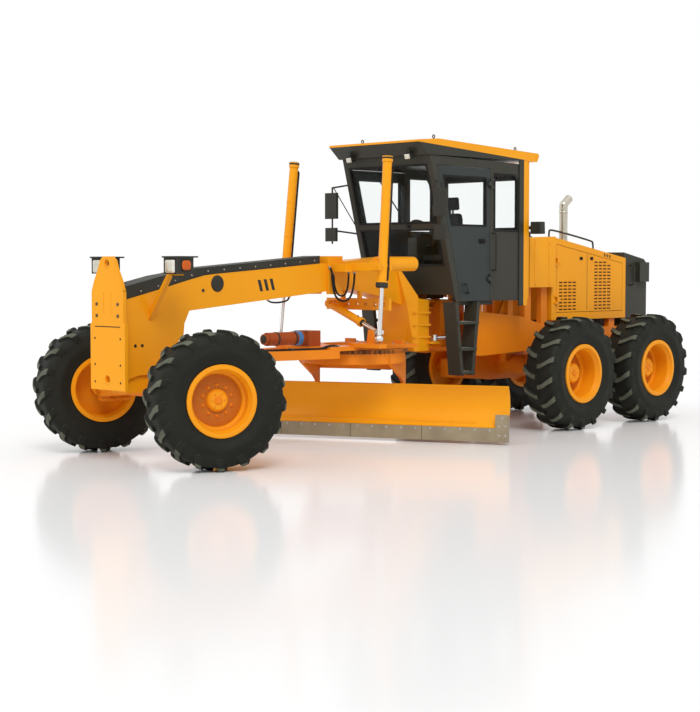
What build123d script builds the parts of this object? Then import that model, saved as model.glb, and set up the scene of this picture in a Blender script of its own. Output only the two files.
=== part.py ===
from build123d import *
import math
import os

# A motor grader: an articulated road machine with a long front frame, a blade
# hung under it on a turning circle, a cab at the pivot and six equal wheels.
# Millimetres; +X forward, +Y left, +Z up; the ground is Z = 0.

os.makedirs("parts", exist_ok=True)

# Driving dimensions
tyre_r = 674.0
tyre_w = 445.0
carcass_r = 640.0
seat_r = 320.0
flange_r = 350.0
rim_half = 185.0
lug_count = 17
lug_reach = 100.0
carcass_sides = 34
hub_z = tyre_r
front_axle_x = 3610.0
tandem_x = -2600.0
tandem_half = 769.0
track_half = 1078.0
kingpin_y = 800.0
steer_rest = -21.0
pivot_x = -375.0
blade_length = 3660.0
blade_height = 600.0
blade_yaw = 25.0
circle_x = 780.0
circle_r = 610.0
circle_teeth = 64
tooth_h = 34.0
flange_top = 1030.0
flange_low = 990.0
web_low = 870.0
ball_x = 3330.0
ball_z = 990.0
beam_half = 150.0
cab_half = 690.0
hood_half = 500.0
gap = 6.0
pin_r = 25.0
stub_r = 62.0
shaft_gap = 0.1
hub_length = 110.0
front_dish = 35.0
rear_dish = -60.0
sides = (("left", 1), ("right", -1))


# Shapes used all over the machine
def box(x0, x1, y0, y1, z0, z1):
    size = Box(abs(x1 - x0), abs(y1 - y0), abs(z1 - z0))
    return Pos((x0 + x1) / 2, (y0 + y1) / 2, (z0 + z1) / 2) * size


def polygon(points):
    return make_face(Polyline(*points, close=True))


def side_plate(points, y0, y1):
    """A plate whose outline is (x, z) points, from y0 to y1."""
    high = max(y0, y1)
    plane = Plane(origin=(0, high, 0), x_dir=(1, 0, 0), z_dir=(0, -1, 0))
    return extrude(plane * polygon(points), abs(y1 - y0))


def cross_plate(points, x0, x1):
    """A plate whose outline is (y, z) points, from x0 to x1."""
    low = min(x0, x1)
    plane = Plane(origin=(low, 0, 0), x_dir=(0, 1, 0), z_dir=(1, 0, 0))
    return extrude(plane * polygon(points), abs(x1 - x0))


def flat_plate(points, z0, z1):
    """A plate whose outline is (x, y) points, from z0 to z1."""
    plane = Plane(origin=(0, 0, min(z0, z1)))
    return extrude(plane * polygon(points), abs(z1 - z0))


def bar(start, end, radius):
    """A round bar from one point to another."""
    a = Vector(*start)
    b = Vector(*end)
    plane = Plane(origin=a, z_dir=(b - a))
    return extrude(plane * Circle(radius), (b - a).length)


def pipe(start, end, radius, bore):
    return bar(start, end, radius) - bar(start, end, bore)


def both(shape):
    """A piece and its mirror image on the other side of the machine."""
    return [shape, shape.mirror(Plane.XZ)]


def fuse(shapes):
    total = shapes[0]
    for shape in shapes[1:]:
        total = total + shape
    return total


def hinge_pair(x, y, levels, ahead):
    """Leaf hinges on an upright axis: what stays fixed and what turns.

    `ahead` is +1 or -1: the side of the axis on which the turning leaf lies."""
    side = 1 if y > 0 else -1
    inner = y - side * 17
    fixed = []
    moving = []
    for z in levels:
        for low in (z, z + 82):
            fixed.append(box(x - ahead * 50, x, inner, y + side * 12, low, low + 24))
            fixed.append(bar((x, y, low), (x, y, low + 24), 12))
        fixed.append(bar((x, y, z), (x, y, z + 106), 8))
        leaf = bar((x, y, z + 29), (x, y, z + 77), 12)
        leaf += box(x, x + ahead * 50, inner, y + side * 10, z + 29, z + 77)
        moving.append(leaf - bar((x, y, z), (x, y, z + 106), 8 + shaft_gap))
    return fuse(fixed), fuse(moving)


def save(name, *shapes):
    solids = []
    for shape in shapes:
        solids.extend(shape.solids())
    whole = solids[0] if len(solids) == 1 else Compound(children=solids)
    whole.label = name
    export_step(whole, "parts/" + name + ".step")


# Wheels: all six have the same tyre, whose lugs run from the middle to the shoulders
def turned(points):
    """A ring turned about the wheel's axle from (radius, across) points."""
    outline = Plane.XY * polygon(points)
    return revolve(outline, Axis.Y)


def ring_section(radius, across):
    """A flat many-sided section of the tyre, square to the wheel's axle."""
    plane = Plane(origin=(0, across, 0), x_dir=(1, 0, 0), z_dir=(0, 1, 0))
    return plane * RegularPolygon(radius, carcass_sides)


def make_tyre():
    w = tyre_w / 2
    profile = (
        (flange_r + 2, rim_half),
        (flange_r + 60, w - 12),
        (570, w - 8),
        (carcass_r, w - 58),
    )
    sections = [ring_section(r, across) for r, across in profile]
    sections += [ring_section(r, -across) for r, across in reversed(profile)]
    carcass = loft(sections, ruled=True)
    bore = seat_r / math.cos(math.pi / carcass_sides)
    carcass -= extrude(ring_section(bore, -rim_half - 5), 2 * rim_half + 10)
    # One lug, seen from above the tread: along the tread, across it
    outline = [(-8, 12), (56, 12), (-36, w), (-lug_reach, w)]
    lug_top = math.sqrt(tyre_r**2 - lug_reach**2)
    lugs = []
    step = 360.0 / lug_count
    # The first lug stands with its outer corner on the ground
    first = 180.0 - math.degrees(math.asin(lug_reach / tyre_r))
    for side in (1, -1):
        points = [(u, v * side) for u, v in outline]
        plane = Plane(origin=(0, 0, 585), x_dir=(1, 0, 0), z_dir=(0, 0, 1))
        lug = extrude(plane * polygon(points), lug_top - 585)
        turn = first if side == 1 else first + step / 2
        for n in range(lug_count):
            lugs.append(Rot(0, turn + n * step, 0) * lug)
    return carcass.fuse(*lugs)


def make_rim(dish, hub_r, hub_out):
    """A rim whose disc stands `dish` out from the wheel's middle plane.

    Its hub is a blind sleeve on the inner side, which turns on a stub axle."""
    barrel = turned(
        [
            (seat_r - 14, -rim_half - 20),
            (flange_r, -rim_half - 20),
            (flange_r, -rim_half),
            (seat_r, -rim_half),
            (seat_r, rim_half),
            (flange_r, rim_half),
            (flange_r, rim_half + 20),
            (seat_r - 14, rim_half + 20),
            (seat_r - 40, rim_half - 30),
            (seat_r - 40, 30 - rim_half),
        ]
    )
    disc = turned(
        [
            (0, dish - 12),
            (0, hub_out),
            (hub_r - 22, hub_out),
            (hub_r, hub_out - 22),
            (hub_r, dish + 12),
            (seat_r - 38, dish + 12),
            (seat_r - 38, dish - 12),
        ]
    )
    inner = dish - 12
    sleeve = turned(
        [
            (stub_r + shaft_gap, inner - hub_length),
            (stub_r + shaft_gap, inner),
            (stub_r + 30, inner),
            (stub_r + 30, inner - hub_length),
        ]
    )
    return barrel + disc + sleeve


tyre = make_tyre()
front_rim = make_rim(front_dish, 105, 95)
rear_rim = make_rim(rear_dish, 120, 60)


def steered(shape, sign):
    """Turns a piece drawn for straight running to the parked steering angle."""
    spot = Pos(front_axle_x, sign * kingpin_y, 0)
    return spot * Rot(0, 0, steer_rest) * spot.inverse() * shape


def wheel_place(x, sign, turn):
    return Pos(x, sign * track_half, hub_z) * Rot(0, 0, turn)


wheels = (
    ("front", front_axle_x, front_rim),
    ("middle", tandem_x + tandem_half, rear_rim),
    ("rear", tandem_x - tandem_half, rear_rim),
)
for axle, x, rim in wheels:
    for side, sign in sides:
        outward = wheel_place(x, sign, 0 if sign == 1 else 180)
        pieces = {"tyre": wheel_place(x, sign, 0) * tyre, "rim": outward * rim}
        for piece, shape in pieces.items():
            if axle == "front":
                shape = steered(shape, sign)
            save(piece + "_" + axle + "_" + side, shape)


# Front axle, knuckles and steering
boss_r = 62.0
boss_top = 765.0
boss_low = 585.0
arm_back = 250.0
arm_low_back = 220.0
tie_z = 812.0
anchor_x = front_axle_x - 145.0
anchor_y = 150.0
steer_z = 622.0


def make_front_axle():
    outline = [(-kingpin_y, 600), (-kingpin_y, 745), (-690, 745), (-330, 860), (330, 860)]
    outline += [(690, 745), (kingpin_y, 745), (kingpin_y, 600), (360, 640), (-360, 640)]
    shapes = [cross_plate(outline, front_axle_x - 75, front_axle_x + 75)]
    for _, sign in sides:
        y = sign * kingpin_y
        shapes.append(bar((front_axle_x, y, boss_low), (front_axle_x, y, boss_top), boss_r))
    for z in (steer_z - 55, steer_z + 39):
        shapes.append(box(anchor_x - 35, front_axle_x - 70, 110, 190, z, z + 16))
    shapes.append(box(anchor_x + 45, front_axle_x - 70, 110, 190, 567, 677))
    root = (anchor_x, anchor_y)
    shapes.append(bar((*root, steer_z - 50), (*root, steer_z + 50), 18))
    beam = fuse(shapes)
    for _, sign in sides:
        y = sign * kingpin_y
        hole = bar((front_axle_x, y, boss_low - 5), (front_axle_x, y, boss_top + 5), 30)
        beam = beam - hole
    return beam


def make_knuckle(sign):
    """Drawn for straight running: a fork over the axle's end, its kingpin, arms and stub."""
    x, y = front_axle_x, kingpin_y
    stub_end = track_half + front_dish - 12 - 2
    shapes = [
        bar((x, y, boss_low - 30), (x, y, boss_top + 30), 30 - shaft_gap),
        box(x - 60, x + 60, y - 60, y + 95, boss_top + 3, boss_top + 34),
        box(x - 60, x + 60, y - 60, y + 95, boss_low - 34, boss_low - 3),
        box(x - 60, x + 60, y + 68, y + 95, boss_low - 34, boss_top + 34),
        box(x - arm_back, x - 40, y - 32, y + 32, boss_top + 3, boss_top + 34),
        bar((x - arm_back, y, boss_top + 3), (x - arm_back, y, boss_top + 34), 38),
        box(x - arm_low_back, x - 40, y - 32, y + 32, boss_low - 34, boss_low - 3),
        bar((x - arm_low_back, y, boss_low - 34), (x - arm_low_back, y, boss_low - 3), 38),
        bar((x, y + 90, hub_z), (x, stub_end, hub_z), stub_r),
    ]
    shape = fuse(shapes)
    shape = shape - bar((x - arm_back, y, boss_top), (x - arm_back, y, boss_top + 40), 20)
    if sign == -1:
        shape = shape.mirror(Plane.XZ)
    return steered(shape, sign)


def arm_tip(back, sign):
    """Where a steering arm's end stands in the parked pose."""
    turn = math.radians(steer_rest)
    x = front_axle_x - back * math.cos(turn)
    y = sign * kingpin_y - back * math.sin(turn)
    return x, y


def make_tie_rod():
    shapes = []
    tips = [arm_tip(arm_back, sign) for _, sign in sides]
    for x, y in tips:
        shapes.append(bar((x, y, boss_top + 6), (x, y, tie_z + 40), 20 - shaft_gap))
        shapes.append(bar((x, y, boss_top + 38), (x, y, tie_z + 36), 36))
    (x0, y0), (x1, y1) = tips
    shapes.append(bar((x0, y0, tie_z + 12), (x1, y1, tie_z + 12), 22))
    return fuse(shapes)


def make_cylinder(root, tip, closed, tail, body_r, rod_r, eye_r, eye_half, axis, pin):
    """A hydraulic cylinder's barrel and rod between two eyes.

    `closed` and `tail` are how far from the root the barrel ends and the rod
    begins; `axis` is the eyes' pin axis."""
    a = Vector(*root)
    b = Vector(*tip)
    along = (b - a).normalized()
    side = Vector(*axis)
    neck = a + along * (eye_r + 8)
    mouth = a + along * closed
    barrel = bar(neck, mouth, body_r)
    barrel += bar(a + along * (pin + 6), neck + along * 5, body_r * 0.6)
    barrel += bar(a - side * eye_half, a + side * eye_half, eye_r)
    barrel += bar(mouth - along * 40, mouth, body_r + 9)
    barrel -= bar(a - side * (eye_half + 5), a + side * (eye_half + 5), pin + shaft_gap)
    barrel -= bar(a + along * (eye_r + 40), mouth + along * 5, rod_r + 0.5)
    rod_start = a + along * tail
    rod = bar(rod_start, b - along * (eye_r * 0.5), rod_r)
    rod += bar(b - side * eye_half, b + side * eye_half, eye_r)
    return barrel, rod


save("tie_rod", make_tie_rod())
for side, sign in sides:
    save("knuckle_" + side, make_knuckle(sign))
steer_root = (anchor_x, anchor_y, steer_z)
steer_tip = (*arm_tip(arm_low_back, 1), steer_z)
steer_barrel, steer_rod = make_cylinder(
    steer_root, steer_tip, 440, 300, 34, 17, 33, 34, (0, 0, 1), 18
)
save("steer_barrel", steer_barrel)
save("steer_rod", steer_rod)


shift_root = (1000.0, -150.0, 1530.0)
shift_eye = (1000.0, 620.0, 1225.0)


# Front frame: nose, long box beam, and the flared box that carries the pivot lugs
lift_top = (985.0, 735.0, 3130.0)
lift_eye = (1165.0, 785.0, 1165.0)
trunnion_z = 1950.0
lock_x = 800.0
lug_z = (1040.0, 1500.0)


def on_lift_line(z):
    t = (lift_top[2] - z) / (lift_top[2] - lift_eye[2])
    x = lift_top[0] + t * (lift_eye[0] - lift_top[0])
    y = lift_top[1] + t * (lift_eye[1] - lift_top[1])
    return x, y


beam_top = [(3700, 1700), (3310, 1795), (3045, 1855), (2250, 1912), (1330, 1980)]
eye_z = 1975.0
lamp_low = 1871.0


def make_front_frame():
    beam_side = [(4140, 830), (4140, 1600)] + beam_top
    beam_side += [(800, 2020), (250, 2055), (-20, 1580), (-190, 1560)]
    beam_side += [(-190, 970), (60, 970), (100, 1490), (450, 1600), (950, 1690)]
    beam_side += [(1330, 1672), (3270, 1498), (3335, 1371), (3346, 1265), (3480, 1120)]
    beam_side += [(3480, 880), (3540, 800), (3690, 800), (3705, 875), (3913, 875), (4068, 830)]
    beam = side_plate(beam_side, -beam_half, beam_half)
    flare_side = [(250, 2000), (-20, 1575), (-190, 1560), (-190, 970), (40, 970), (120, 1500)]
    flare_top = [(260, 150), (0, 280), (-190, 280), (-190, -280), (0, -280), (260, -150)]
    flare = side_plate(flare_side, -280, 280) & flat_plate(flare_top, 960, 2010)
    shapes = [beam, flare]
    # Ribs across the flared box
    for z in (1120, 1260, 1400):
        rib = [(60, 270), (-190, 310), (-190, -310), (60, -270)]
        shapes.append(flat_plate(rib, z, z + 22))
    # Axle bracket under the nose, either side of the axle beam
    shapes.append(box(3690, 4040, -120, 120, 700, 900))
    shapes.append(box(3480, 3530, -120, 120, 700, 900))
    # Socket lugs for the drawbar's cross
    for z in (ball_z + 72, ball_z - 102):
        shapes.append(box(ball_x, 3500, -50, 50, z, z + 30))
        shapes.append(bar((ball_x, 0, z), (ball_x, 0, z + 30), 50))
    # Pivot lugs
    for z in lug_z:
        shapes.append(box(pivot_x, -180, -95, 95, z - 22, z + 22))
        shapes.append(bar((pivot_x, 0, z - 22), (pivot_x, 0, z + 22), 95))
    # Ledges under the eyes of the articulation cylinders
    for _, sign in sides:
        shapes.append(box(-300, -150, sign * 255, sign * 352, 1050, 1079))
        # Strut that carries the head lamp
        strut = [(145, 1400), (145, 1490), (440, lamp_low), (640, lamp_low), (640, 1857), (475, 1857)]
        strut = [(sign * y, z) for y, z in strut]
        shapes.append(cross_plate(strut, 3740, 3790))
    frame = fuse(shapes)
    # Front plate: a wide lower half, a narrower upper half and the lobe with its eye
    right = [(278, 735), (278, 1388), (255, 1392), (255, 1700), (232, 1750), (150, 1785)]
    right += [(122, 1825), (122, 1995), (70, 2042)]
    left = [(-y, z) for y, z in reversed(right)]
    plate = cross_plate(right + left, 4140, 4180)
    plate -= bar((4130, 0, eye_z), (4190, 0, eye_z), 38)
    plate -= bar((4130, 0, 843), (4190, 0, 843), 38)
    frame += plate
    frame -= bar((ball_x, 0, ball_z - 110), (ball_x, 0, ball_z + 110), 28)
    frame -= bar((pivot_x, 0, 960), (pivot_x, 0, 1560), 42)
    return frame


def make_top_cover():
    low = [(4080, 1614)] + beam_top[:-1] + [(1420, 1973)]
    high = [(1420, 2060), (3182, 1924), (3424, 1875), (3593, 1851), (4080, 1745)]
    return side_plate(low + high, -130, 130)


def make_saddle():
    x, y = on_lift_line(trunnion_z)
    shapes = [box(1120, 1340, sign * 150, sign * 180, 1640, 2057) for _, sign in sides]
    shapes.append(box(1120, 1340, -180, 180, 1975, 2057))
    for _, sign in sides:
        shapes.append(bar((420, sign * 590, 1972), (1005, sign * 590, 1972), 80))
        shapes.append(box(1060, 1290, sign * 170, sign * 400, 1885, 1975))
        shapes.append(box(x - 95, x + 95, sign * 380, sign * (y - 85), 1895, 1985))
        for ear in (x - 95, x + 67):
            shapes.append(box(ear, ear + 28, sign * (y - 110), sign * (y + 45), 1900, 2000))
    saddle = fuse(shapes)
    # Lock bar with its row of holes, on two hangers below the beam
    lock = box(lock_x - 20, lock_x + 20, -380, 600, 1460, 1590)
    for n in range(7):
        hole_y = -320 + n * 140
        if abs(hole_y - shift_root[1]) > 60:
            lock -= bar((lock_x - 25, hole_y, 1525), (lock_x + 25, hole_y, 1525), 24)
    for _, sign in sides:
        lock += box(lock_x - 20, lock_x + 20, sign * 110, sign * 150, 1580, 1700)
    root_x, root_y, root_z = shift_root
    lock += box(lock_x, root_x - 54, root_y - 42, root_y + 42, root_z - 42, root_z + 42)
    lock += bar((lock_x, root_y, root_z), (root_x + 42, root_y, root_z), 20)
    for _, sign in sides:
        saddle -= bar((x - 120, sign * y, trunnion_z), (x + 120, sign * y, trunnion_z), 22)
    return saddle, lock


def make_head_lamps():
    lamps = []
    for _, sign in sides:
        shape = box(3660, 3860, sign * 480, sign * 690, lamp_low, 2029)
        shape += box(3610, 3875, sign * 470, sign * 700, 2029, 2044)
        lamps.append(shape)
    return lamps


front_frame = make_front_frame()
saddle, lock_bar = make_saddle()
saddle -= front_frame
lock_bar -= front_frame
top_cover = make_top_cover() - front_frame
lamps = [lamp - front_frame for lamp in make_head_lamps()]
axle = make_front_axle()
save("front_axle", axle)
save("front_frame", front_frame - axle)
save("saddle", saddle, lock_bar)
save("top_cover", top_cover)
save("head_lamps", *lamps)

for side, sign in sides:
    x, y = on_lift_line(trunnion_z)
    top = (lift_top[0], sign * lift_top[1], lift_top[2])
    tip = (lift_eye[0], sign * lift_eye[1], lift_eye[2])
    a, b = Vector(*top), Vector(*tip)
    along = (b - a).normalized()
    barrel = bar(top, a + along * 1420, 50)
    barrel += bar(a + along * 1350, a + along * 1420, 60)
    barrel += bar(a, a + along * 60, 58)
    barrel += bar((x - 100, sign * y, trunnion_z), (x + 100, sign * y, trunnion_z), 22 - shaft_gap)
    barrel += bar((x - 60, sign * y, trunnion_z), (x + 60, sign * y, trunnion_z), 45)
    barrel -= bar(a + along * 70, a + along * 1425, 24.5)
    rod = bar(a + along * 500, b - along * 20, 24)
    rod += Pos(*tip) * Sphere(46)
    save("lift_barrel_" + side, barrel)
    save("lift_rod_" + side, rod)


# Drawbar, which hangs from a cross under the nose and from the two lift cylinders
drawbar_half = 460.0
plate_low = flange_top + 0.5
plate_top = plate_low + 45


def make_drawbar_yoke():
    shape = bar((ball_x, 0, ball_z - 70), (ball_x, 0, ball_z + 70), 52)
    shape += bar((ball_x, 0, ball_z - 108), (ball_x, 0, ball_z + 108), 28 - shaft_gap)
    shape += bar((ball_x, -92, ball_z), (ball_x, 92, ball_z), 24)
    return shape


def make_drawbar():
    legs = [(3140, 90), (1440, drawbar_half), (1440, -drawbar_half), (3140, -90)]
    inside = [(2900, 0), (1540, 300), (1540, -300)]
    shape = flat_plate(legs, 950, 1050) - flat_plate(inside, 940, 1060)
    deck = [(1560, drawbar_half - 30), (1440, drawbar_half), (210, drawbar_half)]
    deck += [(x, -y) for x, y in reversed(deck)]
    plate = flat_plate(deck, plate_low, plate_top)
    plate -= bar((circle_x, 0, plate_low - 5), (circle_x, 0, plate_top + 5), 330)
    shape += plate
    for _, sign in sides:
        shape += box(ball_x - 200, ball_x, sign * 60, sign * 88, ball_z - 45, ball_z + 45)
        shape += bar((ball_x, sign * 60, ball_z), (ball_x, sign * 88, ball_z), 52)
        shape += box(1105, 1225, sign * 420, sign * 840, plate_top - 10, lift_eye[2] - 54)
        for x0 in (420, 1120):
            shape += box(x0, x0 + 30, sign * 300, sign * (drawbar_half - 5), plate_top - 5, plate_top + 40)
    # Lug beside the centre shift cylinder's eye, clear of it as the drawbar swings
    eye_y, eye_level = shift_eye[1:]
    lug = [(eye_y - 60, plate_top), (eye_y + 60, plate_top), (eye_y + 34, eye_level + 34)]
    lug += [(eye_y - 34, eye_level + 34)]
    shape += cross_plate(lug, 1105, 1135)
    # Guide shoes that carry the circle
    for turn in (45, 135, 225, 315):
        shoe = box(435, 482, -60, 60, 962, plate_low + 5)
        shoe += box(435, 534, -60, 60, 962, flange_low - 0.5)
        shape += Pos(circle_x, 0, 0) * Rot(0, 0, turn) * shoe
    for _, sign in sides:
        shape -= bar((ball_x, sign * 55, ball_z), (ball_x, sign * 93, ball_z), 24 + shaft_gap)
    return shape


def make_circle_drive():
    shape = box(1400, 1570, -120, 120, plate_top, 1245)
    shape += bar((1560, 0, 1165), (2090, 0, 1165), 72)
    shape += bar((2080, 0, 1165), (2130, 0, 1165), 58)
    return shape


# Circle: a toothed ring with two arms that carry the blade
arm_y = 505.0
hinge = (-215.0, 300.0)


def make_circle():
    tooth = 360.0 / circle_teeth
    root = circle_r - tooth_h / 2
    tip = circle_r + tooth_h / 2
    points = []
    for n in range(circle_teeth):
        for share, radius in ((-0.30, root), (-0.17, tip), (0.17, tip), (0.30, root)):
            angle = math.radians((n + share) * tooth)
            points.append((radius * math.cos(angle), radius * math.sin(angle)))
    ring = flat_plate(points, flange_low, flange_top)
    ring -= bar((0, 0, flange_low - 5), (0, 0, flange_top + 5), 492)
    web = pipe((0, 0, web_low), (0, 0, flange_low), 590, 545)
    shape = ring + web
    arm = [(-290, 950), (290, 950), (290, 880), (-110, 700), (-195, 640), (-188, 300)]
    arm += [(-252, 300), (-290, 640)]
    for _, sign in sides:
        inner = sign * arm_y
        outer = sign * (arm_y + 30)
        shape += side_plate(arm, inner, outer)
        shape += bar((hinge[0], inner, hinge[1]), (hinge[0], outer, hinge[1]), 45)
        shape += bar((hinge[0], inner - sign * 43, hinge[1]), (hinge[0], outer, hinge[1]), 26)
    # Cross beam that ties the two arms
    shape += box(-290, -220, -arm_y, arm_y, 780, 880)
    return shape


# Blade: the tilting bracket, its rails and the curved moldboard
rail_high = (500.0, 540.0)
rail_low = (200.0, 240.0)
shift_pos = (-125.0, 370.0)


def make_tilt_bracket():
    plate = [(-262, 300), (-235, 235), (-190, 165), (-50, 165), (-50, 199), (-71, 199)]
    plate += [(-71, 241), (-50, 241), (-50, 275), (-95, 290), (-95, 464), (-95, 499)]
    plate += [(-136, 499), (-136, 541), (-95, 541), (-95, 580), (-120, 600), (-178, 600)]
    shapes = []
    for _, sign in sides:
        shapes.append(side_plate(plate, sign * (arm_y - 5), sign * (arm_y - 45)))
    shapes.append(bar((-155, -arm_y + 20, 578), (-155, arm_y - 20, 578), 20))
    shape = fuse(shapes)
    shape -= bar((hinge[0], -600, hinge[1]), (hinge[0], 600, hinge[1]), 26 + shaft_gap)
    return shape


def make_moldboard():
    half = blade_length / 2 - 20
    line = Polyline((36, 190), (36, 110), (60, 110), (60, 190))
    face = ThreePointArc((60, 190), (-42, 400), (28, 632))
    top = Line((28, 632), (5, 640))
    back = ThreePointArc((5, 640), (-68, 400), (36, 190))
    outline = make_face(Wire([*line.edges(), face, top, back]))
    plane = Plane(origin=(0, half, 0), x_dir=(1, 0, 0), z_dir=(0, -1, 0))
    shape = extrude(plane * outline, 2 * half)
    shape += box(-135, -52, -1450, 1450, *rail_high)
    shape += box(-70, 34, -1450, 1450, *rail_low)
    shape += box(-160, -50, 1235, 1275, shift_pos[1] - 32, shift_pos[1] + 32)
    return shape


def make_cutting_edge():
    half = blade_length / 2
    shape = box(60, 80, -half + 150, half - 150, 30, 182)
    ends = [box(60, 84, sign * (half - 150), sign * half, 30, 330) for _, sign in sides]
    return shape + ends[0] + ends[1]


def yawed(shape):
    return Pos(circle_x, 0, 0) * Rot(0, 0, blade_yaw) * shape


side_x, side_z = shift_pos
side_barrel = bar((side_x, -760, side_z), (side_x, 520, side_z), 36)
side_barrel += bar((side_x, 505, side_z), (side_x, 560, side_z), 40)
side_bore = bar((side_x, -730, side_z), (side_x, 570, side_z), 19)
side_rod = bar((side_x, -160, side_z), (side_x, 1235, side_z), 18)
shift_barrel, shift_rod = make_cylinder(
    shift_root, shift_eye, 555, 305, 44, 22, 38, 38, (1, 0, 0), 20
)
blade = make_moldboard()
edge = make_cutting_edge() - blade
save("drawbar_yoke", make_drawbar_yoke())
drawbar = make_drawbar()
save("drawbar", drawbar)
save("circle_drive", make_circle_drive() - drawbar)
save("circle", yawed(make_circle()))
bracket = make_tilt_bracket()
save("tilt_bracket", yawed(bracket + side_barrel - side_bore))
save("moldboard", yawed(blade + side_rod))
save("cutting_edge", yawed(edge))
save("centre_shift_barrel", shift_barrel)
save("centre_shift_rod", shift_rod)


# Rear frame: the head with the pivot's outer lugs, two long rails and the cab's stands
rail_in = 400.0
rail_out = 480.0
rail_zone = (930.0, 1170.0)
rail_end = -4250.0
artic_root = (-985.0, 325.0, 1120.0)
artic_eye = (-255.0, 305.0, 1120.0)
floor_z = 1620.0
tank_low = 1690.0


def make_rear_frame():
    shapes = []
    head_top = [(-480, 200), (-640, 480), (-900, 480), (-900, -480), (-640, -480), (-480, -200)]
    for z in (960, 1505):
        shapes.append(flat_plate(head_top, z, z + 45))
    shapes.append(box(-900, -480, -200, 200, 960, 1550))
    for z in lug_z:
        for low in (z - 57, z + 25):
            shapes.append(box(-490, pivot_x, -95, 95, low, low + 32))
            shapes.append(bar((pivot_x, 0, low), (pivot_x, 0, low + 32), 95))
    shapes.append(bar((pivot_x, 0, 975), (pivot_x, 0, 1565), 42 - shaft_gap))
    for _, sign in sides:
        inner, outer = sign * rail_in, sign * rail_out
        rail = [(-640, 920), (-900, 890), (-1630, 915), (-2000, rail_zone[0]), (rail_end, rail_zone[0])]
        rail += [(rail_end, rail_zone[1]), (-2300, rail_zone[1]), (-1900, 1270), (-1630, 1340)]
        rail += [(-900, 1410), (-640, 1400)]
        shapes.append(side_plate(rail, inner, outer))
        # Stands that carry the cab's floor, with a gusset each
        for x0 in (-900, -1470):
            shapes.append(box(x0, x0 + 90, inner, outer, 1170, floor_z))
            gusset = [(x0 + 90, 1300), (x0 + 240, 1300), (x0 + 90, 1560)]
            shapes.append(side_plate(gusset, inner, sign * (rail_in + 24)))
        # Stands under the tank and the engine's hood
        for x0, top in ((-1830, tank_low), (-2150, tank_low), (-2360, 1280), (-3560, 1280)):
            shapes.append(box(x0, x0 + 120, inner, sign * 470, 1170, top))
        for z in (1120 - 56, 1120 + 39):
            shapes.append(box(-1060, -950, sign * 285, sign * 365, z, z + 17))
        shapes.append(bar((artic_root[0], sign * artic_root[1], 1066), (artic_root[0], sign * artic_root[1], 1174), 22))
    for x0 in (-1120, -2150, -3100, -4120):
        shapes.append(box(x0, x0 + 70, -rail_in, rail_in, 960, 1160))
    return fuse(shapes)


def make_rear_axle():
    """The axle housing across, and a long case with two stub axles on each side."""
    shapes = [bar((tandem_x, -650, hub_z), (tandem_x, 650, hub_z), 130)]
    shapes.append(Pos(tandem_x, 0, hub_z) * Sphere(215))
    for _, sign in sides:
        outline = [(-960, hub_z - 130), (-960, hub_z + 90), (-250, hub_z + 215)]
        outline += [(250, hub_z + 215), (960, hub_z + 90), (960, hub_z - 130), (250, hub_z - 190), (-250, hub_z - 190)]
        outline = [(tandem_x + x, z) for x, z in outline]
        shapes.append(side_plate(outline, sign * 610, sign * 830))
        shapes.append(box(tandem_x - 180, tandem_x + 180, sign * rail_in, sign * rail_out, hub_z + 60, rail_zone[0]))
        for x in (tandem_x - tandem_half, tandem_x + tandem_half):
            stub_end = track_half + rear_dish - 12 - 2
            shapes.append(bar((x, sign * 820, hub_z), (x, sign * stub_end, hub_z), stub_r))
    return fuse(shapes)


def make_engine():
    return box(-3560, -2420, -300, 300, 1160, 1860)


# Hood, radiator shroud, tank and exhaust
hood_front = -2200.0
hood_rear = -3760.0
hood_low = 1280.0
shroud_rear = -4274.0
tank_front = -1690.0
door_x = (-3690.0, -2300.0)
door_low = 1370.0
skin = 30.0
hood_hinge = (-2303.0, hood_half + 15.0)
hood_hinge_levels = (1480.0, 1960.0)


def hood_top(x):
    """The hood falls gently towards the rear."""
    return 2312 - (hood_front - x) * 0.166


def hood_side(inset):
    return [
        (hood_front - inset, hood_low - inset),
        (hood_front - inset, hood_top(hood_front) - inset),
        (hood_rear + inset, hood_top(hood_rear) - inset),
        (hood_rear + inset, hood_low - inset),
    ]


def hood_door_side(inset):
    rear, front = door_x[0] + inset, door_x[1] - inset
    top = [(front, hood_top(front) - 75 - inset), (rear, hood_top(rear) - 75 - inset)]
    return [(rear, door_low + inset), (front, door_low + inset)] + top


def make_hood():
    shell = side_plate(hood_side(0), -hood_half, hood_half)
    shell -= side_plate(hood_side(skin), -hood_half + skin, hood_half - skin)
    for _, sign in sides:
        opening = side_plate(hood_door_side(0), sign * (hood_half - skin - 5), sign * (hood_half + 5))
        fixed, _ = hinge_pair(hood_hinge[0], sign * hood_hinge[1], hood_hinge_levels, -1)
        shell = shell - opening + (fixed - box(*door_x, 0, sign * hood_half, 1300, 2300))
    return shell


def make_hood_door(sign):
    inner = sign * (hood_half - skin)
    outer = sign * hood_half
    door = side_plate(hood_door_side(gap), inner, outer)
    _, leaves = hinge_pair(hood_hinge[0], sign * hood_hinge[1], hood_hinge_levels, -1)
    door += leaves - box(door_x[1] - gap + 0.5, -2200, inner, outer, 1300, 2300)
    # Louvre slots in columns: first column's x, columns, lowest and highest slot
    groups = ((-2352, 4, 1400, 1810), (-3082, 4, 1400, 2040))
    for x0, columns, low, high in groups:
        count = int((high - low) / 42)
        for column in range(columns):
            x1 = x0 - column * 92
            for n in range(count):
                z = low + n * 42
                if z + 60 < hood_top(x1 - 72) - 75:
                    door -= box(x1 - 72, x1, outer - sign * 14, outer + sign * 5, z, z + 17)
    return door


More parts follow.
